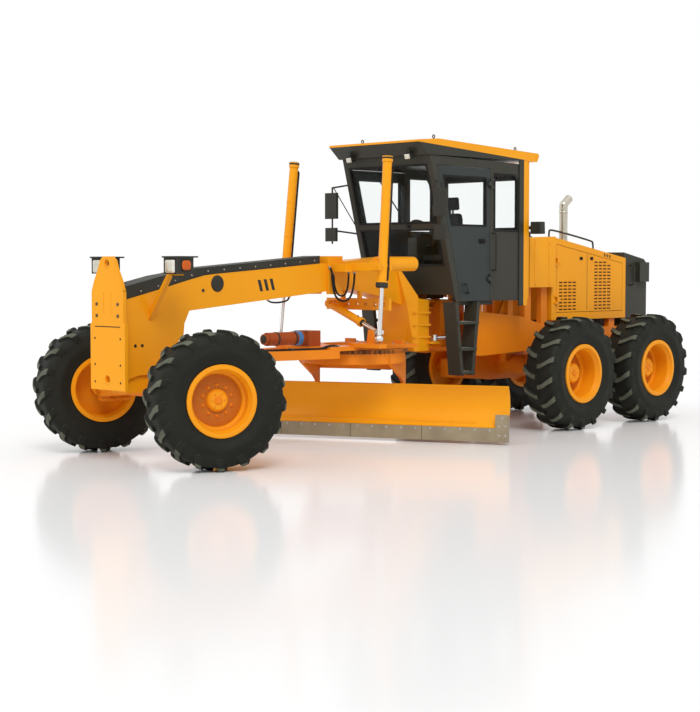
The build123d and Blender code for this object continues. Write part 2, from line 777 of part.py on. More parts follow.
def make_shroud():
    rear = shroud_rear
    outline = [(hood_rear, 1275), (hood_rear, 2128), (rear + 60, 2042), (rear, 1990), (rear, 1275)]
    shape = side_plate(outline, -470, 470)
    for n in range(9):
        z = 1370 + n * 72
        shape -= box(rear - 10, rear + 20, -380, 380, z, z + 34)
    # Rear lamps on the sides, and the bumper plate below
    for _, sign in sides:
        shape += box(rear + 43, rear + 250, sign * 465, sign * 545, 1743, 2000)
        shape += box(-4330, rear + 20, sign * 330, sign * 400, 1000, 1120)
    shape += box(-4330, rear + 20, -400, 400, 1120, 1180)
    shape += box(rear, rear + 50, -400, 400, 1000, 1290)
    return shape


def make_tank():
    outline = [(tank_front, tank_low), (tank_front, 2290), (hood_front, 2312), (hood_front, tank_low)]
    return side_plate(outline, -560, 560)


def make_exhaust():
    pipe_line = bar((-2928, 120, 2185), (-2928, 120, 2730), 53)
    pipe_line += Pos(-2928, 120, 2730) * Sphere(53)
    pipe_line += bar((-2928, 120, 2730), (-3040, 120, 2815), 53)
    return pipe_line


rear_frame = make_rear_frame()
save("rear_frame", rear_frame)
save("rear_axle", make_rear_axle() - rear_frame)
hood = make_hood()
save("engine", make_engine() - rear_frame)
save("hood", hood)
for side, sign in sides:
    save("hood_door_" + side, make_hood_door(sign))
save("shroud", make_shroud() - rear_frame)
save("tank", make_tank())
save("exhaust", make_exhaust() - hood)
for side, sign in sides:
    root = (artic_root[0], sign * artic_root[1], artic_root[2])
    tip = (artic_eye[0], sign * artic_eye[1], artic_eye[2])
    barrel, rod = make_cylinder(root, tip, 480, 250, 42, 22, 36, 34, (0, 0, 1), 22)
    save("artic_barrel_" + side, barrel)
    save("artic_rod_" + side, rod)


# Cab: a hollow shell with cut windows, a door on each side, roof and rear posts
wall = 45.0
ladder_low = 700.0
lean = 425.0 / 1580.0
cab_front = -170.0
cab_rear = -1480.0
cab_top = 3190.0
rail_z = 2400.0
cab_door_low = 1545.0
cab_door_top = 3075.0
door_rear = -785.0
door_hinge = (-788.0, cab_half + 15.0)
door_hinge_levels = (1750.0, 2850.0)
quarter_window = [(-869, 2364), (-869, 3015), (-1230, 3015), (-1290, 2950), (-1290, 2364)]


def front_x(z):
    """The windscreen's outer face at height z."""
    return cab_front + (z - floor_z) * lean


def window(x0, x1, z0, z1):
    """A side window's outline whose front edge leans like the windscreen."""
    return [(front_x(z0) + x0, z0), (front_x(z1) + x0, z1), (x1, z1), (x1, z0)]


def door_outline(inset):
    low = cab_door_low + inset
    top = cab_door_top - inset
    back = door_rear - inset
    ahead = -95.0 - inset
    return [(front_x(low) + ahead, low), (front_x(top) + ahead, top), (back + 2 * inset, top), (back + 2 * inset, low)]


def make_cab_shell():
    outer = [(front_x(floor_z), floor_z), (front_x(cab_top), cab_top), (cab_rear, cab_top - 40)]
    outer += [(cab_rear, floor_z)]
    low = floor_z + wall
    top = cab_top - wall
    inner = [(front_x(low) - wall, low), (front_x(top) - wall, top), (cab_rear + wall, top - 40)]
    inner += [(cab_rear + wall, low)]
    shell = side_plate(outer, -cab_half, cab_half)
    # Side skirts down past the floor, where the doors reach
    for _, sign in sides:
        skirt = [(front_x(1545) + 0, 1545), (front_x(floor_z + 5), floor_z + 5), (cab_rear, floor_z + 5), (cab_rear, 1545)]
        shell += side_plate(skirt, sign * (cab_half - wall), sign * cab_half)
    shell -= side_plate(inner, -cab_half + wall, cab_half - wall)
    for _, sign in sides:
        inside = sign * (cab_half - wall - 5)
        outside = sign * (cab_half + 5)
        shell -= side_plate(door_outline(-gap), inside, outside)
        shell -= side_plate(quarter_window, inside, outside)
    # Windscreen, lower front window and rear window
    for z0, z1 in ((rail_z + 40, 3080), (1960, rail_z - 40)):
        cut = [(front_x(z0) - 90, z0), (front_x(z1) - 90, z1), (front_x(z1) + 40, z1), (front_x(z0) + 40, z0)]
        shell -= side_plate(cut, -cab_half + 85, cab_half - 85)
    shell -= box(cab_rear - 5, cab_rear + wall + 5, -cab_half + 110, cab_half - 110, 2400, 2980)
    for _, sign in sides:
        fixed, _ = hinge_pair(door_hinge[0], sign * door_hinge[1], door_hinge_levels, 1)
        shell += fixed - side_plate(door_outline(-gap), 0, sign * cab_half)
    # Console and steering wheel inside
    shell += box(-330, -210, -70, 70, low - 5, 2280)
    shell += bar((-330, 0, 2300), (-250, 0, 2250), 30)
    shell += pipe((-372, 0, 2332), (-350, 0, 2318), 190, 165)
    shell += bar((-372, 0, 2332), (-330, 0, 2302), 25)
    for y0 in (-180, 10):
        shell += bar((-361, y0, 2325), (-361, y0 + 170, 2325), 9)
    return shell


def make_cab_roof():
    """The roof slab, higher at the front, with the two posts at the cab's rear."""
    outline = [(300, cab_top), (440, 3312), (455, 3318), (455, 3346), (120, 3372), (-1660, 3290)]
    outline += [(-1680, 3262), (-1640, cab_top)]
    roof = side_plate(outline, -cab_half - 15, cab_half + 15)
    for _, sign in sides:
        roof += box(-1467, -1312, sign * (cab_half - 1), sign * (cab_half + 14), 1480, 3200)
        roof += box(-1510, cab_rear, sign * (cab_half - 90), sign * cab_half, 1560, 3200)
    return roof


def make_cab_glass():
    panes = []
    for z0, z1 in ((rail_z + 40, 3080), (1960, rail_z - 40)):
        pane = [(front_x(z0) - 26, z0), (front_x(z1) - 26, z1), (front_x(z1) - 18, z1), (front_x(z0) - 18, z0)]
        panes.append(side_plate(pane, -cab_half + 85, cab_half - 85))
    panes.append(box(cab_rear + 18, cab_rear + 26, -cab_half + 110, cab_half - 110, 2400, 2980))
    for _, sign in sides:
        panes.append(side_plate(quarter_window, sign * (cab_half - 26), sign * (cab_half - 18)))
    return panes


def door_window():
    low, top = 2415.0, 2962.0
    rear = door_rear + 74
    return [(front_x(low) - 165, low), (front_x(top) - 165, top), (rear, top), (rear, low)]


def make_cab_door(sign):
    inner, outer = sign * (cab_half - wall), sign * cab_half
    door = side_plate(door_outline(0), inner, outer)
    door -= side_plate(door_window(), sign * (cab_half - wall - 5), sign * (cab_half + 5))
    _, leaves = hinge_pair(door_hinge[0], sign * door_hinge[1], door_hinge_levels, 1)
    door += leaves - box(-900, door_rear - 0.5, inner, outer, 1500, 3100)
    # Grab handle near the front edge
    door += bar((-330, outer, 1740), (-330, outer + sign * 45, 1740), 9)
    door += bar((-370, outer, 1640), (-370, outer + sign * 45, 1640), 9)
    door += bar((-325, outer + sign * 45, 1750), (-375, outer + sign * 45, 1630), 11)
    return door


def make_seat():
    seat = box(-720, -560, -150, 150, floor_z + wall, 1960)
    seat += box(-900, -420, -240, 240, 1950, 2090)
    back = [(-900, 2060), (-780, 2060), (-850, 2600), (-940, 2600)]
    seat += side_plate(back, -230, 230)
    seat += side_plate([(-938, 2590), (-858, 2590), (-868, 2780), (-935, 2780)], -120, 120)
    return seat


def stringer_x(z, top_x, low_x):
    """Where a stringer's front edge stands at height z: the ladder narrows downwards."""
    return low_x + (top_x - low_x) * (z - ladder_low) / (1540 - ladder_low)


def make_steps():
    """A ladder on each side: two stringers that close up downwards, and three treads."""
    ladders = []
    front, rear = (-115.0, -215.0), (-500.0, -400.0)
    for _, sign in sides:
        y0, y1 = sign * 560, sign * (cab_half + 60)
        pieces = []
        for top_x, low_x in (front, rear):
            edge = [(top_x, 1540), (low_x, ladder_low), (low_x - 50, ladder_low), (top_x - 50, 1540)]
            pieces.append(side_plate(edge, y0, y1))
        for z in (ladder_low + 15, 984, 1285):
            x0 = stringer_x(z, *rear) - 45
            x1 = stringer_x(z, *front) - 5
            pieces.append(box(x0, x1, y0, y1 + sign * 15, z, z + 30))
        pieces.append(box(-640, -120, sign * 560, sign * (cab_half - wall - 5), 1500, 1539))
        pieces.append(box(-900, -640, sign * 480, sign * (cab_half - wall - 5), 1500, 1539))
        ladders.append(fuse(pieces))
    return ladders


mirror_post = (255.0, 860.0)


def make_mirrors():
    arms = []
    x, y = mirror_post
    for _, sign in sides:
        arm = bar((x, sign * y, 2210), (x, sign * y, 2880), 10)
        for z, rise in ((2900, -30), (2330, 40)):
            arm += bar((front_x(z) - 20, sign * (cab_half - 5), z), (x, sign * y, z + rise), 10)
        arm += box(x - 5, x + 30, sign * (y - 95), sign * (y + 95), 2505, 2810)
        arm += box(x - 5, x + 30, sign * (y - 85), sign * (y + 90), 2240, 2400)
        arms.append(arm)
    return arms


roof = make_cab_roof()
shell = make_cab_shell() - roof
save("cab_shell", shell)
save("cab_roof", roof)
save("cab_glass", *make_cab_glass())
save("seat", make_seat())
save("steps", *[ladder - shell - rear_frame for ladder in make_steps()])
save("mirrors", *[arm - shell for arm in make_mirrors()])
for side, sign in sides:
    save("cab_door_" + side, make_cab_door(sign))
    pane = side_plate(door_window(), sign * (cab_half - 26), sign * (cab_half - 18))
    save("door_glass_" + side, pane)
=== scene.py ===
# %% [markdown]
# # Dressing a motor grader
#
# A motor grader levels roads with a long curved blade that hangs between its
# axles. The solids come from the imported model, in metres: +X forward, +Y to
# the machine's left, +Z up, with the ground at Z = 0. This lesson gives them
# paint, rubber, glass and steel, and adds what is too small for the solids:
# bolts, hydraulic lines, lamps, seals and seat cushions.

import math

import bmesh
import bpy
from mathutils import Matrix, Vector


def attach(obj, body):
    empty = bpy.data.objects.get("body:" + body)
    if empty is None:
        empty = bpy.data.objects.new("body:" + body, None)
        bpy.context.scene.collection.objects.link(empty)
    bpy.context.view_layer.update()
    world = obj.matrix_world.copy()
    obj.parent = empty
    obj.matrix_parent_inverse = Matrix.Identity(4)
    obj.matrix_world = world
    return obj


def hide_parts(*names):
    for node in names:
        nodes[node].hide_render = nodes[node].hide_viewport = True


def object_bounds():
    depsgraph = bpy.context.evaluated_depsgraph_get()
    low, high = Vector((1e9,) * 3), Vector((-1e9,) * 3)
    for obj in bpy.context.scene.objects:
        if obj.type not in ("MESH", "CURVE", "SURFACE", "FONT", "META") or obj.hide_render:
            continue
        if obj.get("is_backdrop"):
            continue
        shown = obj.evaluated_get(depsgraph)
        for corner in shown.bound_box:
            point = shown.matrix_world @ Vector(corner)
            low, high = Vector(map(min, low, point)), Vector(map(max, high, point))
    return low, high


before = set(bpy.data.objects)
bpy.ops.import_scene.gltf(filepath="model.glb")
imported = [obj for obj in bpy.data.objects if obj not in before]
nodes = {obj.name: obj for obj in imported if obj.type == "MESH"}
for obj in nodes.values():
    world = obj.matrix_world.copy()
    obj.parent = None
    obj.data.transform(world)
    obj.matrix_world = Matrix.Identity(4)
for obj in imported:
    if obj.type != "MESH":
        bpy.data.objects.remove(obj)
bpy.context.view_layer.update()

# %% [markdown]
# ## Camera
#
# The photograph was taken from the front left, at about head height, with a
# long lens. Its place was found by matching the wheels, the roof's corners and
# the blade's ends. A camera in Blender looks along its own -Z, so the yaw and
# pitch are turned into a direction first, and `to_track_quat` aims it.

# %% Aim the camera from the front left
PHOTO_WIDTH, PHOTO_HEIGHT = 700, 712
CAMERA_PLACE = (13.619, 12.738, 1.944)
CAMERA_YAW = math.radians(-135.13)
CAMERA_PITCH = math.radians(-3.19)
FOCAL_PIXELS = 1606.8
SENSOR_WIDTH = 36.0
FAR_CLIP = 200.0


def add_object(name, data):
    """An object of the scene that shows a mesh, a curve, a lamp or a camera."""
    thing = bpy.data.objects.new(name, data)
    bpy.context.scene.collection.objects.link(thing)
    return thing


def aim_along(thing, place, direction):
    """Put a camera or a lamp at a place and turn its -Z along a direction."""
    thing.location = place
    thing.rotation_mode = "QUATERNION"
    thing.rotation_quaternion = Vector(direction).to_track_quat("-Z", "Y")


def make_camera():
    data = bpy.data.cameras.new("camera")
    data.sensor_width = SENSOR_WIDTH
    data.lens = FOCAL_PIXELS * SENSOR_WIDTH / max(PHOTO_WIDTH, PHOTO_HEIGHT)
    data.clip_end = FAR_CLIP
    camera = add_object("camera", data)
    level = math.cos(CAMERA_PITCH)
    ahead, aside = level * math.cos(CAMERA_YAW), level * math.sin(CAMERA_YAW)
    aim_along(camera, CAMERA_PLACE, (ahead, aside, math.sin(CAMERA_PITCH)))
    bpy.context.scene.camera = camera
    return camera


camera = make_camera()
print("lens:", round(camera.data.lens, 1), "mm")

# %% [markdown]
# ## Floor and light
#
# The machine stands on plain white in a studio. A pale, slightly polished floor
# carries its shadow and a faint mirror image. The world is white for the
# camera, for reflections and through glass, while it lights the machine only
# softly. Two suns with a very wide disc act as soft boxes of endless size, so
# the floor is equally bright near and far. Every shader is a net of nodes, so
# one helper adds a node, sets it and feeds its inputs.

# %% Lay the floor and hang the lights
FLOOR_SIZE = 400.0
FLOOR_LOOK = {"Base Color": (0.97, 0.97, 0.97), "Roughness": 0.14, "Specular IOR Level": 0.045}
WORLD_LIGHT, WORLD_WHITE = 0.64, 1.0
SUNS = (
    # name, place, strength, width of the disc in degrees
    ("key_sun", (6.0, 9.0, 12.0), 1.42, 30),
    ("fill_sun", (12.0, -5.0, 6.0), 0.58, 60),
)


def feed(tree, node, inputs):
    """Give each input a number, a colour or another node's output."""
    for name, value in inputs.items():
        if isinstance(value, bpy.types.NodeSocket):
            tree.links.new(value, node.inputs[name])
        else:
            node.inputs[name].default_value = (*value, 1) if isinstance(value, tuple) else value


def add_node(tree, kind, inputs=None, **settings):
    """Add a shader node, set it up, feed its inputs and hand back its outputs."""
    node = tree.nodes.new("ShaderNode" + kind)
    for name, value in settings.items():
        setattr(node, name, value)
    feed(tree, node, inputs or {})
    return node.outputs


def maths(tree, operation, first, second):
    return add_node(tree, "Math", {0: first, 1: second}, operation=operation)[0]


def new_material(name):
    """A material, its node tree and its main shader."""
    material = bpy.data.materials.new(name)
    material.use_nodes = True
    return material, material.node_tree, material.node_tree.nodes["Principled BSDF"]


def make_floor():
    mesh = bpy.data.meshes.new("floor")
    half = FLOOR_SIZE / 2
    corners = [(-half, -half, 0), (half, -half, 0), (half, half, 0), (-half, half, 0)]
    mesh.from_pydata(corners, [], [(0, 1, 2, 3)])
    floor = add_object("floor", mesh)
    floor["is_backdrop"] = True
    material, tree, shader = new_material("floor_white")
    feed(tree, shader, FLOOR_LOOK)
    mesh.materials.append(material)


def make_world():
    world = bpy.data.worlds.new("studio")
    bpy.context.scene.world = world
    world.use_nodes = True
    tree = world.node_tree
    tree.nodes.clear()
    path = add_node(tree, "LightPath")
    seen = path["Is Camera Ray"]
    for ray in ("Is Glossy Ray", "Is Transmission Ray"):
        seen = maths(tree, "MAXIMUM", seen, path[ray])
    soft, white = [add_node(tree, "Background", {"Color": (1, 1, 1), "Strength": strength})[0]
                   for strength in (WORLD_LIGHT, WORLD_WHITE)]
    mixed = add_node(tree, "MixShader", {"Fac": seen, 1: soft, 2: white})[0]
    add_node(tree, "OutputWorld", {"Surface": mixed})


def make_soft_sun(name, place, strength, spread):
    data = bpy.data.lights.new(name, "SUN")
    data.energy = strength
    data.angle = math.radians(spread)
    aim_along(add_object(name, data), place, -Vector(place))


make_floor()
make_world()
for sun in SUNS:
    make_soft_sun(*sun)
bpy.context.scene.view_settings.view_transform = "Standard"
print("floor:", FLOOR_SIZE, "m across, suns:", len(SUNS))

# %% [markdown]
# ## Paint, steel, rubber and glass
#
# Machine paint is an even colour with a slight orange-peel surface, a film of
# dust on faces that look up, and edges rubbed pale. One function builds each
# finish from those things: a base colour that varies in soft patches, a
# roughness that varies too, a fine bump, and a wear mask. The mask compares a
# rounded normal from a Bevel node with the true one: they differ only near
# edges. The finishes differ in numbers alone, so they stand in one table.

# %% Build one procedural finish per kind of surface
DUST = (0.42, 0.36, 0.27)
EDGE_RADIUS = 0.006
SHEEN, METAL_SHEEN, METAL_LIMIT = 0.20, 0.5, 0.3
PATCHES = (-0.35, 1.1)
GLOSS_FINER = 2.5
BUMP_STRENGTH = 0.6
CHIP_SCALE = 35


def noise_range(tree, coords, scale, low, high, detail=3.0):
    """Soft clouds: the plain noise, and the same stretched from low to high."""
    noise = add_node(tree, "TexNoise", {"Scale": scale, "Detail": detail, "Vector": coords})["Fac"]
    return noise, add_node(tree, "MapRange", {"To Min": low, "To Max": high, "Value": noise})[0]


def colour_mix(tree, factor, first, second):
    """Mix two colours, each a fixed colour or the output of another mix."""
    return add_node(tree, "Mix", {"Factor": factor, 6: first, 7: second}, data_type="RGBA")[2]


def ramp(tree, value, low, high, out_low, out_high):
    ends = {"From Min": low, "From Max": high, "To Min": out_low, "To Max": out_high}
    return add_node(tree, "MapRange", {"Value": value, **ends})[0]


def rounded_normal(tree):
    """A normal rounded near edges, and a mask that is 1 on them."""
    rounded = add_node(tree, "Bevel", {"Radius": EDGE_RADIUS}, samples=4)[0]
    true = add_node(tree, "NewGeometry")["True Normal"]
    match = add_node(tree, "VectorMath", {0: rounded, 1: true}, operation="DOT_PRODUCT")["Value"]
    return rounded, ramp(tree, match, 0.72, 0.97, 1.0, 0.0)


def dust_mask(tree, coords, amount):
    """More dust on faces that look up, in clouds."""
    normal = add_node(tree, "NewGeometry")["Normal"]
    upward = ramp(tree, add_node(tree, "SeparateXYZ", {0: normal})["Z"], -0.2, 1.0, 0.12, 1.0)
    _, cloud = noise_range(tree, coords, 2.2, -0.2, amount, 5.0)
    return maths(tree, "MULTIPLY", upward, cloud)


def make_finish(name, base, worn, rubbed, metal, rough, spread, bump_scale, bump_height, patch, dust):
    """The base fades to worn in patches and to rubbed on edges; bump_height is in metres."""
    material, tree, shader = new_material(name)
    coords = add_node(tree, "TexCoord")["Object"]
    _, clouds = noise_range(tree, coords, patch, *PATCHES)
    colour = colour_mix(tree, clouds, base, worn)
    _, gloss = noise_range(tree, coords, patch * GLOSS_FINER, rough - spread, rough + spread)
    grain, _ = noise_range(tree, coords, bump_scale, 0, 1, 2.0)
    bump = {"Distance": bump_height, "Strength": BUMP_STRENGTH, "Height": grain}
    if rubbed is not None:
        bump["Normal"], edges = rounded_normal(tree)
        chips, _ = noise_range(tree, coords, CHIP_SCALE, 0, 1, 4.0)
        worn_edge = maths(tree, "MULTIPLY", edges, ramp(tree, chips, 0.42, 0.62, 0.0, 0.75))
        colour = colour_mix(tree, worn_edge, colour, rubbed)
    if dust > 0:
        colour = colour_mix(tree, dust_mask(tree, coords, dust), colour, DUST)
    feed(tree, shader, {
        "Base Color": colour, "Roughness": gloss, "Metallic": metal,
        "Specular IOR Level": METAL_SHEEN if metal > METAL_LIMIT else SHEEN,
        "Normal": add_node(tree, "Bump", bump)["Normal"],
    })
    return material


FINISHES = (
    # name, colour, worn, rubbed edge,
    # metallic, roughness, its spread, bump scale, bump height, patch scale, dust
    ("yellow_paint", (0.92, 0.375, 0.006), (0.86, 0.33, 0.007), (0.96, 0.52, 0.08),
     0.0, 0.34, 0.06, 140, 0.0006, 1.3, 0.05),
    ("orange_paint", (0.86, 0.25, 0.008), (0.74, 0.20, 0.009), (0.50, 0.20, 0.05),
     0.0, 0.40, 0.08, 140, 0.0006, 1.7, 0.16),
    ("rim_paint", (0.90, 0.34, 0.006), (0.82, 0.29, 0.008), (0.90, 0.45, 0.07),
     0.0, 0.36, 0.07, 140, 0.0005, 2.2, 0.08),
    # the dish's own orange, darkened further as painted shade for the deep dish
    ("dish_orange_and_painted_shade", (0.56, 0.155, 0.010), (0.44, 0.12, 0.010), None,
     0.0, 0.45, 0.08, 140, 0.0005, 2.6, 0.12),
    ("drive_brown", (0.42, 0.085, 0.016), (0.30, 0.062, 0.016), (0.50, 0.22, 0.10),
     0.0, 0.42, 0.10, 120, 0.0006, 3.0, 0.15),
    ("coupling_blue", (0.06, 0.24, 0.52), (0.05, 0.18, 0.40), None,
     0.0, 0.40, 0.08, 120, 0.0005, 6.0, 0.10),
    ("dark_paint", (0.036, 0.036, 0.026), (0.050, 0.048, 0.036), (0.15, 0.15, 0.12),
     0.0, 0.42, 0.08, 160, 0.0005, 1.5, 0.06),
    ("door_slate", (0.030, 0.038, 0.036), (0.038, 0.046, 0.044), (0.14, 0.15, 0.14),
     0.0, 0.38, 0.06, 160, 0.0005, 1.5, 0.04),
    ("cover_black", (0.030, 0.030, 0.024), (0.044, 0.043, 0.034), (0.12, 0.12, 0.11),
     0.0, 0.55, 0.08, 220, 0.0008, 2.5, 0.08),
    ("seal_rubber", (0.010, 0.010, 0.009), (0.018, 0.018, 0.017), None,
     0.0, 0.70, 0.08, 180, 0.0006, 6.0, 0.0),
    ("tyre_rubber", (0.008, 0.0085, 0.006), (0.018, 0.019, 0.013), (0.13, 0.145, 0.105),
     0.0, 0.66, 0.10, 90, 0.0015, 3.0, 0.10),
    ("tread_worn", (0.135, 0.145, 0.105), (0.045, 0.048, 0.034), (0.22, 0.24, 0.18),
     0.0, 0.80, 0.08, 90, 0.0015, 7.0, 0.20),
    ("blade_steel", (0.36, 0.31, 0.20), (0.23, 0.18, 0.12), (0.46, 0.42, 0.33),
     0.45, 0.48, 0.12, 60, 0.0010, 5.0, 0.12),
    ("bolt_steel", (0.42, 0.40, 0.36), (0.30, 0.27, 0.22), (0.60, 0.58, 0.54),
     0.8, 0.38, 0.10, 120, 0.0004, 9.0, 0.08),
    ("dark_bolt", (0.10, 0.075, 0.045), (0.06, 0.050, 0.035), (0.30, 0.26, 0.20),
     0.6, 0.45, 0.10, 120, 0.0004, 9.0, 0.05),
    ("chrome", (0.74, 0.74, 0.74), (0.64, 0.64, 0.62), None,
     1.0, 0.16, 0.05, 200, 0.0001, 3.0, 0.0),
    ("exhaust_steel", (0.62, 0.60, 0.52), (0.46, 0.42, 0.32), (0.30, 0.24, 0.16),
     1.0, 0.30, 0.10, 120, 0.0003, 4.0, 0.0),
    ("seat_cover", (0.024, 0.026, 0.026), (0.036, 0.038, 0.038), None,
     0.0, 0.85, 0.05, 350, 0.0010, 5.0, 0.05),
    ("engine_iron", (0.08, 0.08, 0.08), (0.05, 0.045, 0.04), None,
     0.3, 0.60, 0.10, 70, 0.0020, 4.0, 0.2),
    # dark joints and seams, the exhaust's dark inside, and painted shade in holes and louvre slots
    ("dark_joint_and_painted_shade", (0.012, 0.011, 0.010), (0.022, 0.019, 0.016), None,
     0.0, 0.80, 0.05, 120, 0.0004, 8.0, 0.0),
    ("lens_amber", (0.62, 0.12, 0.008), (0.50, 0.085, 0.008), None,
     0.0, 0.16, 0.04, 250, 0.0004, 8.0, 0.0),
    ("lens_red", (0.55, 0.012, 0.010), (0.42, 0.010, 0.010), None,
     0.0, 0.16, 0.04, 250, 0.0004, 8.0, 0.0),
    ("lens_clear", (0.78, 0.75, 0.64), (0.52, 0.50, 0.42), None,
     0.4, 0.12, 0.04, 60, 0.0010, 6.0, 0.0),
    ("mirror_silver", (0.80, 0.82, 0.83), (0.74, 0.76, 0.77), None,
     1.0, 0.05, 0.02, 200, 0.00005, 5.0, 0.0),
)
finish = {row[0]: make_finish(*row) for row in FINISHES}

GLASS_TINT, GLASS_BEND = (0.955, 0.975, 0.970), 1.12


def make_glass(name):
    """Thin sheet glass: light goes through almost straight, so the cab stays clear."""
    material, tree, shader = new_material(name)
    _, film = noise_range(tree, add_node(tree, "TexCoord")["Object"], 3.0, 0.01, 0.06, 4.0)
    look = {"Base Color": GLASS_TINT, "IOR": GLASS_BEND, "Transmission Weight": 1.0, "Roughness": film}
    feed(tree, shader, look)
    return material


finish["glass"] = make_glass("glass")
print("finishes:", len(finish))

# %% [markdown]
# ## Which solid wears which finish
#
# Like parts wear like paint: the structure is yellow, the cab and the shroud
# are dark, the rods are chrome. A table from finish to names keeps that
# readable, and whatever it does not name is structure.

# %% Paint the solids
WEARS = {
    "dark_paint": ("cab_shell", "steps", "shroud"),
    "door_slate": ("cab_door_left", "cab_door_right"),
    "drive_brown": ("circle_drive",),
    "cover_black": ("top_cover", "mirrors", "head_lamps"),
    "orange_paint": ("drawbar", "drawbar_yoke", "rear_frame", "rear_axle", "front_axle",
                     "knuckle_left", "knuckle_right", "tie_rod", "tilt_bracket"),
    "rim_paint": tuple(name for name in nodes if name.startswith("rim")),
    "blade_steel": ("cutting_edge",),
    "chrome": ("lift_rod_left", "lift_rod_right", "centre_shift_rod",
               "artic_rod_left", "artic_rod_right", "steer_rod"),
    "glass": ("cab_glass", "door_glass_left", "door_glass_right"),
    "exhaust_steel": ("exhaust",),
    "seat_cover": ("seat",),
    "engine_iron": ("engine",),
    "tyre_rubber": tuple(name for name in nodes if name.startswith("tyre")),
}
worn_by = {name: kind for kind, names in WEARS.items() for name in names}
for name, node in nodes.items():
    node.data.materials.clear()
    node.data.materials.append(finish[worn_by.get(name, "yellow_paint")])
print("painted:", len(nodes), "solids")

# %% [markdown]
# The toothed circle is greased where it turns and painted below. Its solid is
# one piece, so the finish itself changes at a height: object coordinates are
# world coordinates here, and the toothed band lies above 0.98 m.

# %% Grease the circle's teeth
GREASE = (0.055, 0.040, 0.024)
TOOTH_LEVEL = 0.982


def copy_finish(kind, name):
    """A copy of a finish: its tree, its colour, and where each point lies on the object."""
    finish[name] = finish[kind].copy()
    finish[name].name = name
    tree = finish[name].node_tree
    paint = tree.nodes["Principled BSDF"].inputs["Base Color"].links[0].from_socket
    coords = add_node(tree, "TexCoord")["Object"]
    return tree, paint, coords, add_node(tree, "SeparateXYZ", {0: coords})


def recolour(tree, colour, node, name):
    """Give the finish its new colour and put it on a solid."""
    feed(tree, tree.nodes["Principled BSDF"], {"Base Color": colour})
    nodes[node].data.materials[0] = finish[name]


def grease_circle():
    tree, paint, coords, axes = copy_finish("orange_paint", "greased_ring")
    height = ramp(tree, axes["Z"], TOOTH_LEVEL, TOOTH_LEVEL + 0.006, 0.0, 0.85)
    smear, _ = noise_range(tree, coords, 9, 0, 1, 4.0)
    patchy = maths(tree, "MULTIPLY", height, ramp(tree, smear, 0.30, 0.55, 0.35, 1.0))
    recolour(tree, colour_mix(tree, patchy, paint, GREASE), "circle", "greased_ring")


grease_circle()
print("greased above", TOOTH_LEVEL, "m")

# %% [markdown]
# The roof is a thin yellow sheet over a dark frame: its front slope, its
# underside and the lower part of its sides are dark, and so is the inner half
# of each rear post, which is door seal. The roof is one solid, so its finish
# asks where it is: a line falls from the front edge to the rear, and what
# lies below the line or faces forward is dark.

# %% Split the roof's paint along a line
ROOF_LINE = ((0.455, 3.322), (-1.560, 3.195))
ROOF_DARK = (0.036, 0.036, 0.026)
POST_TOP, POST_SPLIT = 3.200, -1.395
SHARP = 0.002


def split_roof_paint():
    tree, paint, _, axes = copy_finish("yellow_paint", "roof_paint")
    (x0, z0), (x1, z1) = ROOF_LINE
    above = maths(tree, "GREATER_THAN", axes["Z"], ramp(tree, axes["X"], x1, x0, z1, z0))
    low = ramp(tree, axes["Z"], POST_TOP, POST_TOP + SHARP, 1.0, 0.0)
    rear = ramp(tree, axes["X"], POST_SPLIT, POST_SPLIT + SHARP, 1.0, 0.0)
    yellow = maths(tree, "MAXIMUM", above, maths(tree, "MULTIPLY", low, rear))
    recolour(tree, colour_mix(tree, yellow, ROOF_DARK, paint), "cab_roof", "roof_paint")


split_roof_paint()
print("roof line falls", round(ROOF_LINE[0][1] - ROOF_LINE[1][1], 3), "m")

# %% [markdown]
# ## Small helpers for pieces
# Every piece is one mesh built in a bmesh, given a finish, and set riding on
# the body that carries it. A place is a matrix, so the same drawing serves a
# straight part, the yawed blade and the steered wheels. Most trim is dark. A finish that is only
# a shade of another belongs to that one's slot; most trim is dark.

# %% Turn a bmesh into a riding piece
SIDES = (("left", 1), ("right", -1))
FORWARD, UPWARD = (1, 0, 0), (0, 0, 1)


def place_piece(name, mesh_data, material, body, smooth=30.0, bevel=0.0):
    """Make an object from a bmesh; faces meeting under `smooth` degrees shade softly."""
    bmesh.ops.recalc_face_normals(mesh_data, faces=mesh_data.faces)
    for face in mesh_data.faces:
        face.smooth = True
    for edge in mesh_data.edges:
        if len(edge.link_faces) == 2 and edge.calc_face_angle(0.0) > math.radians(smooth):
            edge.smooth = False
    mesh = bpy.data.meshes.new(name)
    mesh_data.to_mesh(mesh)
    mesh_data.free()
    mesh.materials.append(finish[material])
    piece = add_object(name, mesh)
    if bevel > 0:
        rounding = piece.modifiers.new("rounding", "BEVEL")
        rounding.width = bevel
        rounding.segments = 2
        rounding.limit_method = "ANGLE"
    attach(piece, body)
    return piece


def make_tube(name, points, radius, material, body):
    """A bent tube: a smooth curve through a few control points, with a round section."""
    curve = bpy.data.curves.new(name, "CURVE")
    curve.dimensions = "3D"
    curve.bevel_depth = radius
    curve.bevel_resolution = 3
    curve.use_fill_caps = True
    curve.resolution_u = 6
    spline = curve.splines.new("NURBS")
    spline.points.add(len(points) - 1)
    for control, point in zip(spline.points, points):
        control.co = (*point, 1)
    spline.use_endpoint_u = True
    spline.order_u = min(3, len(points))
    curve.materials.append(finish[material])
    tube = add_object(name, curve)
    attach(tube, body)


def join_loops(mesh_data, loops):
    """Faces between neighbouring loops that have equally many vertices."""
    for first, second in zip(loops, loops[1:]):
        for n in range(len(first)):
            m = (n + 1) % len(first)
            mesh_data.faces.new((first[n], first[m], second[m], second[n]))


